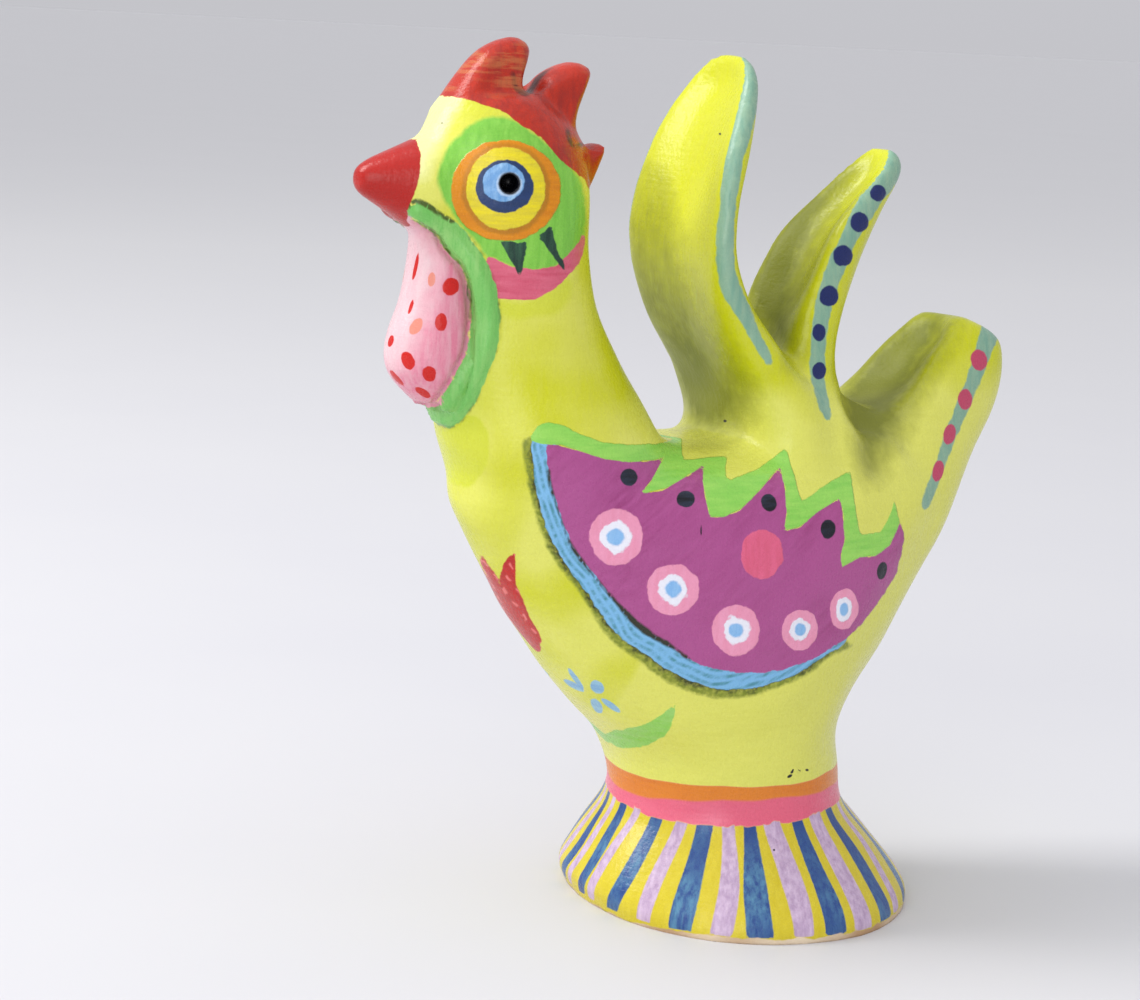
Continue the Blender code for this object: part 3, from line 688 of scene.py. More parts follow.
class Clay:
    """The points of a mesh in drawn millimetres, and where the photograph's camera sees them."""

    def __init__(self, mesh):
        self.mesh = mesh
        self.points = self.read("co")
        self.normals = self.read("normal")
        mirror = np.ones_like(self.points)
        mirror[self.points[:, 0] < 0, 0] = -1.0
        self.left = self.points * mirror
        self.left_normals = self.normals * mirror
        self.places = drawn_places(self.left)
        self.facing = faces_camera(self.left, self.left_normals)
        self.noted = {}
        self.x, self.y, self.z = self.points.T
        self.zones = self.find_zones(self.y, self.z)

    def find_zones(self, y, z):
        """The parts of the bird, in which each mark is looked for."""
        head, body = (z > 108) & (y < -30), (z > 24) & (z < 92) & (y < 48)
        throat = (z > 84) & (z < 124) & (y < -46)
        return {
            "head": head, "eye": head & (self.facing > 0.0), "beak": (z > 112) & (y < -62),
            "crest": (z > 118) & (y < -25), "upper": z > 95, "throat": throat, "lobe": throat & (y < -54),
            "wattle": throat & (y < -56), "wattle low": throat & (z < 118) & (y < -60),
            "body": body, "side": body & (self.facing > 0.0), "breast": (z > 60) & (y < -40),
            "back": (z > 50) & (z < 98), "left": (self.facing > 0.1) & (self.x > 0), "foot": z < 30,
            "first": (z > 86) & (y > -30) & (y < -3.6), "first groove": (z > 80) & (y > -30) & (y < 0),
            "second": (z > 84) & (y >= -3.6) & ((y < 19) | (z > 107)), "second groove": (z > 88) & (y < 30),
            "third": (z > 60) & (y >= 19) & (z < 107), "third groove": z > 70,
        }

    def read(self, name):
        """A value of three numbers of every vertex."""
        values = np.zeros(len(self.mesh.vertices) * 3)
        self.mesh.vertices.foreach_get(name, values)
        return values.reshape(-1, 3)

    def note(self, name, values):
        """Remembers one number for each vertex."""
        self.noted[name] = np.clip(values, -FAR, FAR)

    def keep_notes(self):
        """Writes the remembered numbers on the mesh, three to an attribute, and gives their names."""
        rows = list(self.noted.values())
        rows += [np.zeros(len(self.points))] * (-len(rows) % 3)
        for pack in range(len(rows) // 3):
            self.note_three("marks_%d" % pack, np.column_stack(rows[3 * pack:3 * pack + 3]))
        return list(self.noted)

    def note_three(self, name, values):
        """Writes three numbers for each vertex on the mesh."""
        kept = self.mesh.attributes.new(name, 'FLOAT_VECTOR', 'POINT')
        kept.data.foreach_set("vector", values.astype(np.float32).ravel())

    def note_place(self, name, zone, centre, beyond):
        """Notes how many pixels each vertex of a zone is from the centre. Others get the value beyond."""
        places = np.where(self.zones[zone][:, None], self.places - np.array(centre), beyond)
        self.note_three(name, np.column_stack([places, np.zeros(len(places))]))

    def patch(self, zone, turned, rounded, outline):
        """How many pixels inside an outline each vertex is. Those turned from the camera are outside."""
        where = self.zones[zone]
        values = np.full(len(self.points), -FAR)
        values[where] = inside_by(self.places[where], outline, rounded)
        return np.minimum(values, (self.facing - turned) * EDGE_ON)

    def line(self, zone, half_width, course):
        """How many pixels inside a brushed line each vertex is."""
        where = self.zones[zone]
        distance = np.full(len(self.points), FAR)
        distance[where] = line_distance(self.places[where], smooth_line(course, LINE_STEPS))
        return np.minimum(half_width - distance, (self.facing - LINE_SEEN) * EDGE_ON)

    def shade(self, zone, outline):
        """The same as patch, but of what the camera itself sees, with nothing mirrored, as for painted shade.
        """
        where = self.zones[zone]
        values = np.full(len(self.points), -FAR)
        values[where] = inside_by(drawn_places(self.points[where]), outline)
        return np.minimum(values, faces_camera(self.points, self.normals) * EDGE_ON)

    def note_dots(self, name, zone, dots, places=None):
        """Notes the place from the nearest dot's centre in its own half widths, and how far that is."""
        places = self.places if places is None else places
        best, across, down = (np.full(len(places), NO_DOT) for spare in range(3))
        for x, y, half_width, half_height, turn in dots:
            c, s = math.cos(math.radians(turn)), math.sin(math.radians(turn))
            dx, dy = places[:, 0] - x, places[:, 1] - y
            u = (c * dx + s * dy) / half_width
            v = (c * dy - s * dx) / half_height
            reach = np.hypot(u, v)
            nearer = self.zones[zone] & (reach < best)
            best[nearer], across[nearer], down[nearer] = reach[nearer], u[nearer], v[nearer]
        self.note_three(name, np.stack([across, down, best], axis=1))


def stripe_depth(angles, heights, radii, stripes):
    """How many millimetres inside the nearest foot stripe each point is."""
    share = np.clip((STRIPE_TOP - heights) / STRIPE_TOP, 0.0, 1.0)
    best = np.full(len(angles), -FAR)
    for top, middle, rim, half_top, half_rim in stripes:
        bend = smooth_line([(0.0, top), (0.5, middle), (1.0, rim)], BEND_STEPS)
        centre = np.interp(share, *zip(*bend))
        half = half_top + (half_rim - half_top) * share
        off = np.abs((angles - centre + 180.0) % 360.0 - 180.0)
        best = np.maximum(best, (half - off) * np.pi / 180.0 * radii)
    return np.minimum(best, (heights - STRIPE_END) * STRIPE_ENDING)


def smooth_by_thumb(mesh):
    """Rounds off the folds where the feathers grow out of the back."""
    bm = bmesh.new()
    bm.from_mesh(mesh)
    chosen = [vertex for vertex in bm.verts
              if any((Vector((abs(vertex.co.x), vertex.co.y, vertex.co.z)) - Vector(place)).length < radius
                     for place, radius in THUMBED)]
    for stroke in range(THUMB_STROKES):
        bmesh.ops.smooth_vert(bm, verts=chosen, factor=0.5, use_axis_x=True, use_axis_y=True,
                              use_axis_z=True)
    bm.to_mesh(mesh)
    bm.free()


def shape_by_hand(mesh):
    """Moves the points a little: uneven rim, band and crease beside the wattle, hollows and waves."""
    clay = Clay(mesh)
    angles, radii = foot_places(clay.points)
    widest = np.interp(angles, RIM_ANGLES, RIM_WIDEST)
    lowest = np.interp(angles, RIM_ANGLES, RIM_LOWEST)
    out = (lowest + (widest - lowest) * gentle(clay.z / RIM_CURL)) * gentle((RIM_REACH - clay.z) / RIM_REACH)
    outwards = clay.points * np.array([1.0, 1.0, 0.0]) / np.maximum(radii, 1.0)[:, None]
    waves = sum(np.sin(clay.points @ np.array(crest) + start) for crest, start in HAND_WAVES)
    push = waves * HAND_DEPTH / len(HAND_WAVES)
    turned = gentle((clay.facing - SEEN) / SEEN_FADE) * clay.zones["throat"]
    band = inside_by(clay.places, BAND_OUTSIDE + WATTLE_EDGE[::-1])
    push += BAND_RELIEF * gentle((band + BAND_SPREAD) / BAND_RISE) * turned
    crease = line_distance(clay.places, smooth_line(WATTLE_EDGE, LINE_STEPS)[CREASE_START:])
    push -= CREASE_DEPTH * np.exp(-(crease / CREASE_WIDTH) ** 2) * turned
    for place, radius, depth in HOLLOWS:
        push -= depth * gentle(1.0 - np.linalg.norm(clay.left - np.array(place), axis=1) / radius)
    push *= gentle((clay.z - RIM_LEFT_FLAT) / RIM_SETTLED)
    moved = clay.points + clay.normals * push[:, None] + outwards * (out * (radii > RIM_INNER))[:, None]
    mesh.vertices.foreach_set("co", moved.ravel())
    mesh.update()


def head_marks(clay):
    """The beak, the painted shade in the comb's notches, the eye's place and the pupil."""
    beak = clay.patch("beak", AROUND, True, BEAK_EDGE)
    under = np.minimum.reduce([UNDER_BEAK_SIDE - clay.x, UNDER_BEAK_BACK - clay.y, clay.z - UNDER_BEAK_LOW])
    clay.note("beak", np.maximum(beak, under * PIXELS_PER_MM))
    clay.note("comb_notch_shade", np.maximum(*(clay.line("crest", *row) for row in COMB_NOTCH_SHADE)))
    clay.note_place("eye_place", "eye", EYE_PLACE, EYE_BEYOND)
    aim = np.array(PUPIL_AIM) / np.linalg.norm(PUPIL_AIM)
    off = clay.left - np.array(PUPIL)
    from_axis = np.linalg.norm(off - (off @ aim)[:, None] * aim, axis=1)
    clay.note("pupil", np.where(clay.zones["head"], PUPIL_RADIUS * PUPIL_EDGE - from_axis, -FAR))


def throat_marks(clay):
    """The wattle with its dots, and the green band behind it."""
    on_side = clay.patch("wattle", THROAT_TURN, True, points(300, 412, 300, 150, 398, 150) + WATTLE_EDGE)
    on_side += np.clip(-clay.x, 0.0, LOBE_ROUND) * LOBE_GROWTH
    lobe = np.minimum.reduce([LOBE_BACK - clay.y, LOBE_TOP - clay.z, clay.z - LOBE_BOTTOM])
    clay.note("wattle", np.maximum(on_side, np.where(clay.facing < 0.0, lobe * PIXELS_PER_MM, -FAR)))
    band = clay.patch("throat", THROAT_TURN, True, points(330, 400, 330, 205) + BAND_OUTSIDE)
    beside = np.maximum(clay.y - LOBE_FRONT, clay.left[:, 0] - BAND_INNER)
    clay.note("neck_band", np.minimum(band, beside * PIXELS_PER_MM))
    turn = np.arctan2(clay.x, -(clay.y - WATTLE_AXIS_Y))
    unrolled = np.column_stack([turn * WATTLE_RADIUS, -clay.z])
    for name, dots in (("wattle_dots", WATTLE_DOTS), ("wattle_pale_dots", WATTLE_PALE_DOTS)):
        rows = [(math.radians(a) * WATTLE_RADIUS, -z, *size) for a, z, *size in dots]
        clay.note_dots(name, "wattle low", rows, unrolled)


def tail_marks(clay):
    """The stripes down the feathers' edges, and the olive paint and painted shade in their grooves."""
    outwards = (clay.left_normals[:, 0] - np.where(clay.x < 0, STRIPE_TURN_RIGHT, STRIPE_TURN_LEFT)) * EDGE_ON
    for name, (zone, outline) in STRIPES.items():
        clay.note(name, np.minimum(clay.patch(zone, -0.3, True, outline), outwards))
    limits = ((FIRST_GROOVE_TOP - clay.z) * FIRST_GROOVE_FADE, (clay.y - SECOND_GROOVE_FRONT) * PIXELS_PER_MM,
              (clay.y - THIRD_GROOVE_FRONT) * PIXELS_PER_MM)
    shades = [np.minimum(clay.shade(*row), limit) for row, limit in zip(SHADES, limits)]
    clay.note("shade", np.maximum.reduce(shades))
    clay.note("tail", (clay.z - TAIL_LOW) * gentle((clay.y - TAIL_FRONT) / TAIL_FADE))


def foot_marks(clay):
    """The bands and stripes of the foot, and the bare clay under its rim and in its hollow."""
    angles, radii = foot_places(clay.points)
    for name, stripes in (("foot_blue", BLUE_STRIPES), ("foot_lilac", LILAC_STRIPES)):
        clay.note(name, np.where(clay.zones["foot"], stripe_depth(angles, clay.z, radii, stripes), -FAR))
    for name, edge in (("above_pink", PINK_EDGE), ("above_orange", BANDS_MEET),
                       ("above_bands", ORANGE_TOP)):
        clay.note(name, clay.z - np.interp(angles, BAND_ANGLES, edge))
    flare = np.interp(clay.z / FOOT_HEIGHT, *zip((0.0, 1.0), *FOOT_FLARE[3:]))
    hollow = WAIST_RADIUS + (FOOT_RADIUS - WAIST_RADIUS) * flare - FOOT_WALL / 2 - radii
    (start, start_fade), (end, end_fade) = BARE_RIM_ANGLES
    wider = gentle((angles - start) / start_fade) * gentle((end - angles) / end_fade)
    rim = BARE_RIM + BARE_RIM_MORE * wider - clay.z
    bare = np.maximum(np.clip(hollow, -BARE_FAR, BARE_FAR), rim)
    clay.note("bare", np.where(clay.z < BARE_TOP, bare, -BARE_FAR))


def paint_marks(mesh):
    """Notes on each point of the mesh how far it is inside each mark, and gives the marks' names."""
    clay = Clay(mesh)
    for name, row in PATCHES.items():
        clay.note(name, clay.patch(*row))
    for name, row in LINES.items():
        clay.note(name, clay.line(*row))
    for name, (zone, dots) in DOTS.items():
        clay.note_dots(name, zone, dots)
    clay.note_place("tulip_place", "side", TULIP_PLACE, FAR)
    head_marks(clay)
    throat_marks(clay)
    tail_marks(clay)
    foot_marks(clay)
    return clay.keep_notes()


# Colours as they are seen, 0 to 255
LIME = (223, 224, 104)
LIME_DEEP = (205, 206, 72)
TAIL_LEMON = (203, 207, 20)
LEMON = (204, 212, 40)
# Pale lime of the painted highlight of glare on the forehead
FOREHEAD_GLARE_HIGHLIGHT = (240, 240, 178)
# Olive paint of the feathers' grooves, also their painted shade
OLIVE = (98, 104, 0)
COMB_RED = (188, 44, 20)
COMB_RED_DEEP = (156, 36, 24)
# Painted shade in the comb's notches
COMB_NOTCH_SHADE_RED = (92, 30, 22)
COMB_WORN = (196, 116, 66)
BEAK_RED = (178, 24, 14)
BEAK_RED_DEEP = (152, 24, 18)
LEAF_GREEN = (136, 204, 76)
LEAF_GREEN_DEEP = (116, 188, 62)
BAND_GREEN = (112, 188, 90)
BAND_GREEN_PALE = (150, 206, 116)
# Olive of the band's outline, also the painted shade in the crease beside the wattle
BAND_OLIVE_AND_SHADE = (74, 94, 30)
ORANGE = (224, 142, 10)
ORANGE_DEEP = (204, 120, 10)
ORANGE_BROWN = (164, 112, 20)
YELLOW = (236, 218, 26)
NAVY = (32, 54, 94)
SKY = (98, 152, 206)
SKY_PALE = (158, 200, 236)
# Painted highlight round the pupil
PUPIL_HIGHLIGHT_WHITE = (206, 224, 242)
LASH = (18, 50, 42)
LASH_PALE = (60, 110, 78)
ROSE = (206, 82, 108)
WATTLE_PINK = (220, 126, 150)
# Pale pink of the wattle, also its painted highlight on the lit front
WATTLE_PALE_AND_HIGHLIGHT = (226, 194, 198)
DOT_RED = (200, 26, 18)
DOT_SALMON = (224, 140, 122)
PURPLE = (174, 82, 142)
PURPLE_DEEP = (158, 66, 124)
PURPLE_EDGE = (46, 48, 32)
WING_BLUE = (124, 184, 226)
WING_BLUE_DEEP = (78, 142, 158)
WING_OLIVE = (48, 56, 6)
WING_OLIVE_PALE = (126, 138, 36)
ZIGZAG_GREEN = (158, 218, 96)
ZIGZAG_GREEN_DEEP = (136, 206, 84)
DISC_PINK = (238, 158, 188)
DISC_WHITE = (236, 236, 246)
DISC_BLUE = (130, 182, 232)
CORAL = (230, 104, 140)
BLACK = (12, 14, 22)
BLACK_PALE = (52, 62, 84)
TULIP_RED = (192, 24, 14)
TULIP_PINK = (228, 112, 106)
STROKE_BLUE = (158, 200, 216)
LEAF_SOFT = (156, 208, 110)
BAND_ORANGE = (222, 130, 40)
BAND_ORANGE_DEEP = (200, 98, 36)
BAND_PINK = (226, 100, 126)
BAND_PINK_PALE = (242, 136, 158)
FOOT_YELLOW = (214, 197, 50)
FOOT_YELLOW_DEEP = (206, 188, 34)
STRIPE_BLUE = (42, 74, 136)
STRIPE_BLUE_PALE = (86, 136, 170)
STRIPE_LILAC = (178, 150, 182)
STRIPE_LILAC_PALE = (210, 186, 212)
FEATHER_TEAL = (146, 180, 152)
FEATHER_TEAL_DEEP = (122, 166, 144)
FEATHER_NAVY = (24, 38, 94)
FEATHER_ROSE = (192, 70, 100)
CLAY = (234, 216, 188)
CLAY_DEEP = (190, 154, 116)
FLOOR = (214, 214, 217)
FLOOR_SHADE = (211, 211, 215)
FLOOR_FAR = (229, 229, 229)

# Sheen and height of the paint, the turn of its brush strokes, and the floor
PAINT_SHEEN = 0.38
BUMP_STRENGTH = 0.8
PAINT_THICKNESS = 0.00016
BRUSH_SLANT = math.radians(38.0)
FLOOR_SHEEN = 0.2
FLOOR_REACH = 30.0

# The room's light at the horizon and overhead. Lights: place, target, size, power and tint
ROOM = (236, 236, 242)
HORIZON = 0.66
ZENITH = 0.93
LIGHTS = {
    "window": ((-0.40, -0.74, 0.90), (0.0, 0.0, 0.09), (0.36, 1.0), 10.0, (1.0, 0.99, 0.97)),
    "sky": ((0.25, -0.45, 1.35), (0.0, 0.0, 0.08), (1.6, 1.4), 3.2, (1.0, 1.0, 1.0)),
    "fill": ((0.9, -0.95, 0.42), (0.0, 0.0, 0.07), (0.9, 0.9), 5.2, (0.99, 1.0, 1.0)),
}


def colour(seen):
    """A colour as seen, in the linear light that shaders use."""
    shares = [value / 255 for value in seen]
    return (*(s / 12.92 if s <= 0.04045 else ((s + 0.055) / 1.055) ** 2.4 for s in shares), 1.0)


class Value:
    """A node's output, which can stand in sums like a number."""

    def __init__(self, brush, socket):
        self.brush, self.socket = brush, socket

    def __add__(self, other):
        return self.brush.math('ADD', self, other)

    def __mul__(self, other):
        return self.brush.math('MULTIPLY', self, other)

    def __sub__(self, other):
        return self.brush.math('SUBTRACT', self, other)

    def __rsub__(self, other):
        return self.brush.math('SUBTRACT', other, self)

    def ramp(self, gain, start, clamp=False):
        """The value times gain, from start on."""
        return self.brush.math('MULTIPLY_ADD', self, gain, start, clamp)

    def spread(self, gain=3.0, middle=0.5):
        """Noise with more contrast, from nought to one."""
        return self.ramp(gain, 0.5 - gain * middle, True)

    def wander(self, reach):
        """Noise as a swing of about reach to both sides."""
        return self.ramp(4 * reach, -2 * reach)

    def step(self, soft=1.0):
        """Nought below nought, one above, with an edge as wide as soft."""
        return self.ramp(1 / soft, 0.5, True)


class Brush:
    """Builds a tree of nodes: paint laid over paint, and how thick it lies."""

    def __init__(self, tree, marks=()):
        self.nodes, self.links = tree.nodes, tree.links
        self.marks = list(marks)
        self.splits = {}
        self.height = 0.0

    def put(self, node, given):
        """Sets a node's inputs to constants or links them to values."""
        for name, value in given.items():
            value = value.socket if isinstance(value, Value) else value
            if isinstance(value, bpy.types.NodeSocket):
                self.links.new(value, node.inputs[name])
            else:
                node.inputs[name].default_value = value
        return node

    def node(self, kind, given):
        """A new node with some of its inputs given."""
        return self.put(self.nodes.new('ShaderNode' + kind), given)

    def math(self, operation, first, second=0.0, third=0.0, clamp=False):
        """A Math node."""
        node = self.node('Math', {0: first, 1: second, 2: third})
        node.operation = operation
        node.use_clamp = clamp
        return Value(self, node.outputs[0])

    def length(self, across, down):
        """How far a place is from the middle."""
        return self.math('SQRT', across * across + down * down)

    def read(self, name):
        """A number noted on the mesh, in the attribute that it shares with two others."""
        pack, place = divmod(self.marks.index(name), 3)
        return self.read_three("marks_%d" % pack)[place]

    def read_three(self, name):
        """Three numbers noted on the mesh."""
        if name not in self.splits:
            noted = self.node('Attribute', {})
            noted.attribute_name = name
            split = self.node('SeparateXYZ', {0: noted.outputs["Vector"]})
            self.splits[name] = [Value(self, out) for out in split.outputs]
        return self.splits[name]

    def noise(self, scale, detail, stretch=(1, 1, 1), turn=0.0, roughness=0.5):
        """Noise in the object's own coordinates, turned about x: its value and two other channels."""
        mapping = self.node('Mapping', {"Vector": self.node('TexCoord', {}).outputs["Object"],
                                        "Rotation": (turn, 0, 0),
                                        "Scale": [1 / share for share in stretch]})
        mapping.vector_type = 'TEXTURE'
        noise = self.node('TexNoise', {"Vector": mapping.outputs[0], "Scale": scale, "Detail": detail,
                                       "Roughness": roughness})
        split = self.node('SeparateColor', {0: noise.outputs["Color"]})
        return [Value(self, out) for out in (noise.outputs[0], split.outputs[1], split.outputs[2])]

    def mix(self, share, below, above):
        """Colour above laid on colour below."""
        node = self.nodes.new('ShaderNodeMix')
        node.data_type = 'RGBA'
        return Value(self, self.put(node, {"Factor": share, 6: below, 7: above}).outputs[2])

    def two(self, first, second, share):
        """Two tones of one paint."""
        return self.mix(share, colour(first), colour(second))

    def inside(self, name, wander=0.0, soft=1.0, grow=0.0):
        """One inside a noted mark, whose edge wanders."""
        return (self.read(name) + (wander + grow)).step(soft)

    def dots(self, name, wander, soft=0.12, zone=1.16):
        """Length from the nearest dot's centre in its half widths, its zone, and one inside the dots."""
        across, down, reach = self.read_three(name)
        length = self.length(across, down) + wander
        near = self.math('LESS_THAN', reach, zone)
        return length, near, (1 - length).step(soft) * near

    def lay(self, share, above, thick=0.0):
        """Lays a colour or mixed tones over what is there, thin, or with their top at the height thick."""
        self.paint = self.mix(share, self.paint, colour(above) if isinstance(above, tuple) else above)
        if thick:
            rise = self.math('SUBTRACT', thick, self.height)
            self.height = self.math('MULTIPLY_ADD', share, rise, self.height)
        return share


class PaintBrush(Brush):
    """The brush for the bird, with the noises that all its paints share."""

    def __init__(self, tree, marks):
        super().__init__(tree, marks)
        self.slow, self.slow_b, self.slow_c = self.noise(70, 1)
        self.wave, self.wave_b, self.wave_c = self.noise(420, 1)
        self.fine = self.noise(1500, 2)[0]
        self.grain = self.noise(950, 3, (1, 1, 0.14), roughness=0.6)[0]
        self.grain_b = self.noise(950, 3, (0.16, 0.16, 1.2), roughness=0.6)[0]
        self.patches = self.slow.spread(3.2)
        self.upright = self.grain.spread()
        self.level = self.grain_b.spread()
        self.slant = self.noise(950, 2, (1, 0.15, 1), BRUSH_SLANT, 0.6)[0].spread()
        self.level_here = self.level * self.patches
        self.upright_here = self.upright * self.patches
        self.edge = self.wave.wander(1.1) + self.fine.wander(0.5)
        self.edge_b = self.wave_b.wander(1.0) + self.fine.wander(0.5)
        self.small = self.wave_c.wander(0.07) + self.fine.wander(0.03)


def lay_ground(b):
    """The lime ground, its lemon places, the painted highlight of glare on the forehead, and the olive paint
    with painted shade in the feathers' grooves.
    """
    b.paint = b.two(LIME, LIME_DEEP, b.slow.spread(1.8) * b.level.ramp(0.4, 0.05))
    tail = (b.read("tail") + b.patches.wander(2.0)).step(9.0)
    b.lay(tail, b.two(TAIL_LEMON, LIME_DEEP, b.upright * 0.35))
    # The forehead's pale patch is a painted highlight of glare.
    for name, soft, share, paint in (("breast_lemon", 3.0, 0.8, LEMON), ("forehead", 16.0, 0.7, FOREHEAD_GLARE_HIGHLIGHT),
                                     ("cheek_lemon", 7.0, 0.7, LEMON)):
        b.lay(b.inside(name, b.edge, soft) * share, paint)
    # Olive paint and painted shade in the feathers' grooves, darkest where the grooves lie in shadow.
    wash = b.inside("shade", b.wave.wander(3.0) + b.grain.wander(3.0), soft=40.0)
    b.wash = b.lay(wash * b.patches.ramp(0.16, 0.78), OLIVE)


def dashes(b):
    """One inside short dashes in staggered rows."""
    x, y, spare = b.read_three("tulip_place")
    c, s = math.cos(DASH_TURN), math.sin(DASH_TURN)
    across = (x * c + (y * -s + b.wave.wander(2.0))) * (1 / DASH_APART[0])
    along = (x * s + y * c) * (1 / DASH_APART[1]) + b.math('FLOOR', across) * 0.5
    near = [(size - b.math('ABSOLUTE', b.math('FRACT', place) - 0.5)).step(0.08)
            for place, size in zip((across, along), DASH_SIZE)]
    return near[0] * near[1]


def lay_body(b):
    """The leaf, the flower's strokes and the tulip."""
    b.lay(b.inside("leaf", b.edge), b.two(LEAF_SOFT, LEAF_GREEN, b.level))
    for name in ("strokes", "thin_strokes"):
        b.lay(b.dots(name, b.small * 1.6)[2], b.two(STROKE_BLUE, SKY, b.level * 0.6))
    tulip = b.lay(b.inside("tulip", b.edge_b), b.two(TULIP_RED, BEAK_RED_DEEP, b.upright * 0.4))
    b.lay(dashes(b) * tulip, TULIP_PINK)


def lay_wing(b):
    """The purple wing with its blue and olive border, its discs and dots, and the green zigzag."""
    olive = b.inside("wing_olive", b.edge + b.slow_b.wander(2.0), soft=3.5) * b.fine.ramp(1.2, 0.3, True)
    outer = (5 - b.read("wing_olive") + b.wave_c.wander(4.0)).step(5.0)
    b.lay(olive, b.two(WING_OLIVE, WING_OLIVE_PALE, outer))
    streaks = b.math('SINE', b.read("wing_blue") + b.slow_b.wander(6.0)).ramp(0.25, 0.5).spread(2.4)
    b.lay(b.inside("wing_blue", b.edge_b), b.two(WING_BLUE, WING_BLUE_DEEP, streaks * b.slant), thick=1.0)
    b.lay(b.inside("wing", b.edge), b.two(PURPLE, PURPLE_DEEP, b.slant * b.patches), thick=0.8)
    b.lay(b.inside("wing_dark", b.edge * 0.6 + b.slow_c.wander(2.2), soft=2.2), PURPLE_EDGE)
    coral = b.dots("coral", b.small * 0.8, soft=0.05)[2]
    b.lay(coral, b.two(CORAL, ROSE, b.upright * 0.5), thick=1.2)
    length, near, disc = b.dots("wing_discs", b.small * 0.7, soft=0.05)
    b.lay(disc, b.two(DISC_PINK, ROSE, b.upright * 0.2), thick=1.2)
    b.lay((DISC_WHITE_REACH - (length + b.small * 0.6)).step(0.06) * near, DISC_WHITE, thick=1.7)
    b.lay((DISC_BLUE_REACH - length).step(0.08) * near, b.two(DISC_BLUE, SKY_PALE, b.upright * 0.5),
          thick=2.1)
    b.lay(b.dots("wing_dots", b.small)[2], b.two(BLACK, BLACK_PALE, b.level_here))
    b.lay(b.inside("zigzag", b.edge * 0.6), b.two(ZIGZAG_GREEN, ZIGZAG_GREEN_DEEP, b.level), thick=1.2)


def lay_foot(b):
    """The yellow foot with its stripes, and the pink and orange bands over it."""
    swing = b.slow.wander(0.22) + b.fine.wander(0.05)
    above = b.inside("above_pink", b.wave_b.wander(0.2), soft=0.2)
    below = 1 - above
    b.lay(below, b.two(FOOT_YELLOW, FOOT_YELLOW_DEEP, b.upright))
    blue = b.two(STRIPE_BLUE, STRIPE_BLUE_PALE, b.upright_here)
    b.lay(b.inside("foot_blue", swing, soft=0.2) * below, blue)
    overlap = b.inside("above_pink", b.wave_b.wander(0.5), soft=0.2, grow=-0.2)
    lilac = b.inside("foot_lilac", swing, soft=0.22) * (1 - overlap)
    b.lay(lilac, b.two(STRIPE_LILAC, STRIPE_LILAC_PALE, b.upright))
    under_top = 1 - b.inside("above_bands", b.slow_c.wander(0.35), soft=0.22)
    band = above * under_top * (1 - lilac)
    b.lay(band, b.two(BAND_PINK, BAND_PINK_PALE, b.level_here))
    orange = b.inside("above_orange", b.slow_b.wander(0.7), soft=0.4)
    b.lay(band * orange, b.two(BAND_ORANGE, BAND_ORANGE_DEEP, b.level_here))


def ring(b, name, wander, soft=1.2):
    """One inside one of the eye's ellipses."""
    x, y, spare = b.read_three("eye_place")
    (middle_x, middle_y), (half_x, half_y) = EYE_RINGS[name]
    length = b.length((x - middle_x) * (1 / half_x), (y - middle_y) * (1 / half_y))
    return ((1 - length) * half_x + wander).step(soft)


def lay_head(b):
    """The green patch and pink crescent, the eye's rings, the lashes and the comb."""
    b.lay(b.inside("eye_patch", b.edge, soft=4.5), b.two(LEAF_GREEN, LEAF_GREEN_DEEP, b.upright))
    b.lay(b.inside("crescent", b.edge_b), b.two(ROSE, BAND_PINK_PALE, b.level * 0.35))
    orange = b.lay(ring(b, "orange", b.edge), b.two(ORANGE, ORANGE_DEEP, b.level_here), thick=0.9)
    b.lay(ring(b, "seam", b.edge_b, soft=3.0) * orange * b.patches.ramp(0.4, 0.4), ORANGE_BROWN)
    b.lay(ring(b, "yellow", b.edge_b), b.two(YELLOW, FOOT_YELLOW, b.level), thick=1.6)
    b.lay(ring(b, "navy", b.edge), b.two(NAVY, STRIPE_BLUE, b.level * 0.25), thick=1.8)
    b.lay(ring(b, "sky", b.edge_b), b.two(SKY, SKY_PALE, b.slant * b.upright), thick=2.4)
    # Painted highlight: a pale glint round the pupil, strongest to its lower right.
    b.lay(ring(b, "pupil_highlight", b.edge, soft=2.0) * 0.65, PUPIL_HIGHLIGHT_WHITE)
    for name in ("lash_front", "lash_back"):
        b.lay(b.inside(name, b.edge_b), b.two(LASH, LASH_PALE, b.upright_here))
    b.lay(b.read("pupil").step(0.3), BLACK)
    b.lay(b.inside("comb", b.edge), b.two(COMB_RED, COMB_RED_DEEP, b.upright_here))
    # Painted shade deep in the comb's notches.
    b.lay(b.inside("comb_notch_shade", b.edge * 0.8, soft=2.4), COMB_NOTCH_SHADE_RED)
    rubbed = (b.slow_b - 0.585).step(0.07) * (b.grain_b - 0.5).step(0.12)
    b.lay(b.inside("comb", b.edge, soft=3.0, grow=-6.0) * (rubbed * 0.55), COMB_WORN)


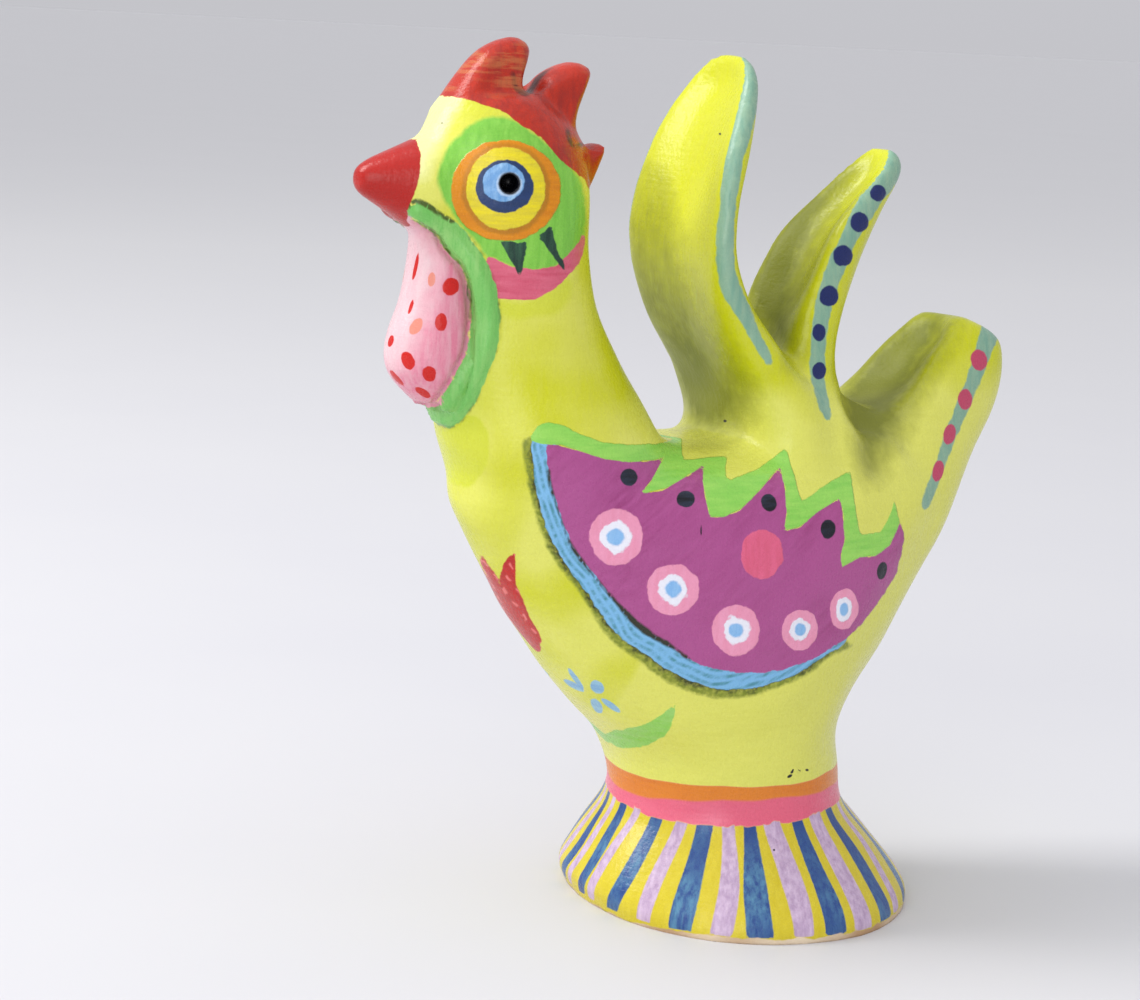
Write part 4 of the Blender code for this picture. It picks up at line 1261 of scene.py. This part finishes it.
def lay_throat(b):
    """The green band with its olive outline, the pink wattle with its dots and its painted highlight, the
    painted shade in the crease beside it, and the beak over them.
    """
    b.lay(b.inside("neck_band", b.edge), b.two(BAND_GREEN, BAND_GREEN_PALE, b.upright_here))
    broken = b.wave_b.spread(3.4, 0.46)
    b.lay(b.inside("band_line", b.fine.wander(0.8), soft=2.2) * (broken * 0.7), BAND_OLIVE_AND_SHADE)
    b.lay(b.inside("band_dark", b.edge * 0.8, soft=2.0), BAND_OLIVE_AND_SHADE)
    wattle = b.lay(b.inside("wattle", b.edge_b, soft=1.4), WATTLE_PINK)
    # Painted highlight: the wattle's lit front paler, fading softly towards its shaded side.
    pale = b.inside("wattle_pale", b.wave.wander(4.0), soft=24.0)
    b.lay(wattle, b.mix(pale, b.two(WATTLE_PINK, WATTLE_PALE_AND_HIGHLIGHT, b.upright * 0.4),
                        b.two(WATTLE_PALE_AND_HIGHLIGHT, WATTLE_PINK, b.upright * 0.2)))
    for name, paint in (("wattle_dots", DOT_RED), ("wattle_pale_dots", DOT_SALMON)):
        b.lay(b.dots(name, b.small * 1.4)[2] * wattle, paint)
    b.lay(b.inside("wattle_line", b.fine.wander(1.2), soft=1.6) * broken, LIME)
    # Painted shade in the crease between the wattle and the band.
    b.lay(b.inside("crease_shade", b.edge_b, soft=1.8) * b.wave_c.spread(3.4, 0.44), BAND_OLIVE_AND_SHADE)
    b.lay(b.inside("beak", b.edge_b), b.two(BEAK_RED, BEAK_RED_DEEP, b.level_here))


def lay_tail(b):
    """The stripes down the feathers and their dots."""
    for name in STRIPES:
        b.lay(b.inside(name, b.edge_b, soft=1.4), b.two(FEATHER_TEAL, FEATHER_TEAL_DEEP, b.upright))
    for name, stripe, paint in (("navy_dots", "stripe_two", FEATHER_NAVY),
                                ("pink_dots", "stripe_three", FEATHER_ROSE)):
        b.lay(b.dots(name, b.small)[2] * b.inside(stripe, grow=6.0), paint)


def new_material(name):
    """A material with its nodes."""
    material = bpy.data.materials.new(name)
    material.use_nodes = True
    return material


def painted_clay(marks):
    """The varnished paint on the clay: every mark over the lime ground."""
    material = new_material("painted clay")
    b = PaintBrush(material.node_tree, marks)
    for coat in (lay_ground, lay_body, lay_wing, lay_foot, lay_head, lay_throat, lay_tail):
        coat(b)
    b.lay(b.dots("specks", b.small * 3, soft=0.4, zone=5.0)[2], BLACK)
    bare = b.lay(b.inside("bare", b.wave_c.wander(0.35), soft=0.25), b.two(CLAY, CLAY_DEEP, b.patches))
    gloss = b.fine.ramp(0.12, b.grain.ramp(0.14, 0.15))
    dull = b.math('MAXIMUM', bare * 0.85, b.wash * 0.55)
    grain = b.grain * 0.5 + (b.grain_b * 0.5 + b.fine * 0.5)
    bump = b.node('Bump', {"Strength": BUMP_STRENGTH, "Distance": PAINT_THICKNESS,
                           "Height": b.height + grain + b.wave * 0.5})
    b.put(b.nodes["Principled BSDF"], {"Base Color": b.paint, "Roughness": b.math('MAXIMUM', gloss, dull),
                                       "Specular IOR Level": PAINT_SHEEN, "Normal": bump.outputs[0]})
    return material


def add_rooster():
    """The painted bird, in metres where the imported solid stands. Gives how far it was moved."""
    mesh = clay_mesh()
    mesh.shade_smooth()
    smooth_by_thumb(mesh)
    shape_by_hand(mesh)
    marks = paint_marks(mesh)
    beak_tip = min(vertex.co.y for vertex in mesh.vertices)
    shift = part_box("rooster")[0].y - beak_tip * MM
    mesh.transform(Matrix.Translation((0.0, shift, 0.0)) @ Matrix.Scale(MM, 4))
    mesh.name = "painted_rooster"
    mesh.materials.clear()
    mesh.materials.append(painted_clay(marks))
    bird = linked("painted_rooster", mesh)
    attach(bird, "root")
    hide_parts("rooster")
    return shift


def add_camera(shift):
    """The photograph's camera, moved along with the bird."""
    right, up, forward = camera_axes()
    data = bpy.data.cameras.new("camera")
    data.sensor_fit = 'HORIZONTAL'
    data.sensor_width = SENSOR_WIDTH
    data.lens = FOCAL_PIXELS / FRAME_WIDTH * SENSOR_WIDTH
    data.clip_start = 0.01
    camera = linked("camera", data)
    place = Vector(CAMERA_PLACE) * MM + Vector((0.0, shift, 0.0))
    camera.matrix_world = Matrix.Translation(place) @ Matrix((right, up, -forward)).transposed().to_4x4()
    bpy.context.scene.camera = camera


def add_floor():
    """A plain pale floor, out to where it meets the pale room."""
    mesh = bpy.data.meshes.new("floor")
    mesh.from_pydata([(x, y, 0.0) for x, y in square(FLOOR_REACH)], [], [(0, 1, 2, 3)])
    mesh.materials.append(new_material("pale floor"))
    b = Brush(mesh.materials[0].node_tree)
    cloud = b.noise(6, 3)[0]
    away = b.node('VectorMath', {0: b.node('TexCoord', {}).outputs["Object"]})
    away.operation = 'LENGTH'
    far = (Value(b, away.outputs["Value"]) - 0.75).step(1.1)
    b.put(b.nodes["Principled BSDF"], {
        "Base Color": b.mix(far, b.two(FLOOR, FLOOR_SHADE, cloud.spread()), colour(FLOOR_FAR)),
        "Roughness": cloud.ramp(0.2, 0.5), "Specular IOR Level": FLOOR_SHEEN})
    linked("floor", mesh)


def add_light(name, place, target, size, power, tint):
    """A soft area light that looks at a target."""
    data = bpy.data.lights.new(name, 'AREA')
    data.shape = 'RECTANGLE'
    data.size, data.size_y = size
    data.energy = power
    data.color = tint
    turn = (Vector(target) - Vector(place)).normalized().to_track_quat('-Z', 'Y').to_matrix().to_4x4()
    linked(name, data).matrix_world = Matrix.Translation(place) @ turn


def add_room():
    """Pale light from all round, a little stronger from above, as the floor needs to meet it unseen."""
    world = bpy.data.worlds.new("room")
    world.use_nodes = True
    b = Brush(world.node_tree)
    split = b.node('SeparateXYZ', {0: b.node('TexCoord', {}).outputs["Generated"]})
    rise = b.node('MapRange', {"Value": split.outputs[2], "To Min": HORIZON, "To Max": ZENITH})
    b.put(b.nodes["Background"], {"Color": colour(ROOM), "Strength": rise.outputs[0]})
    bpy.context.scene.world = world


add_camera(add_rooster())
add_floor()
add_room()
for light, values in LIGHTS.items():
    add_light(light, *values)
bpy.context.scene.view_settings.view_transform = 'Standard'
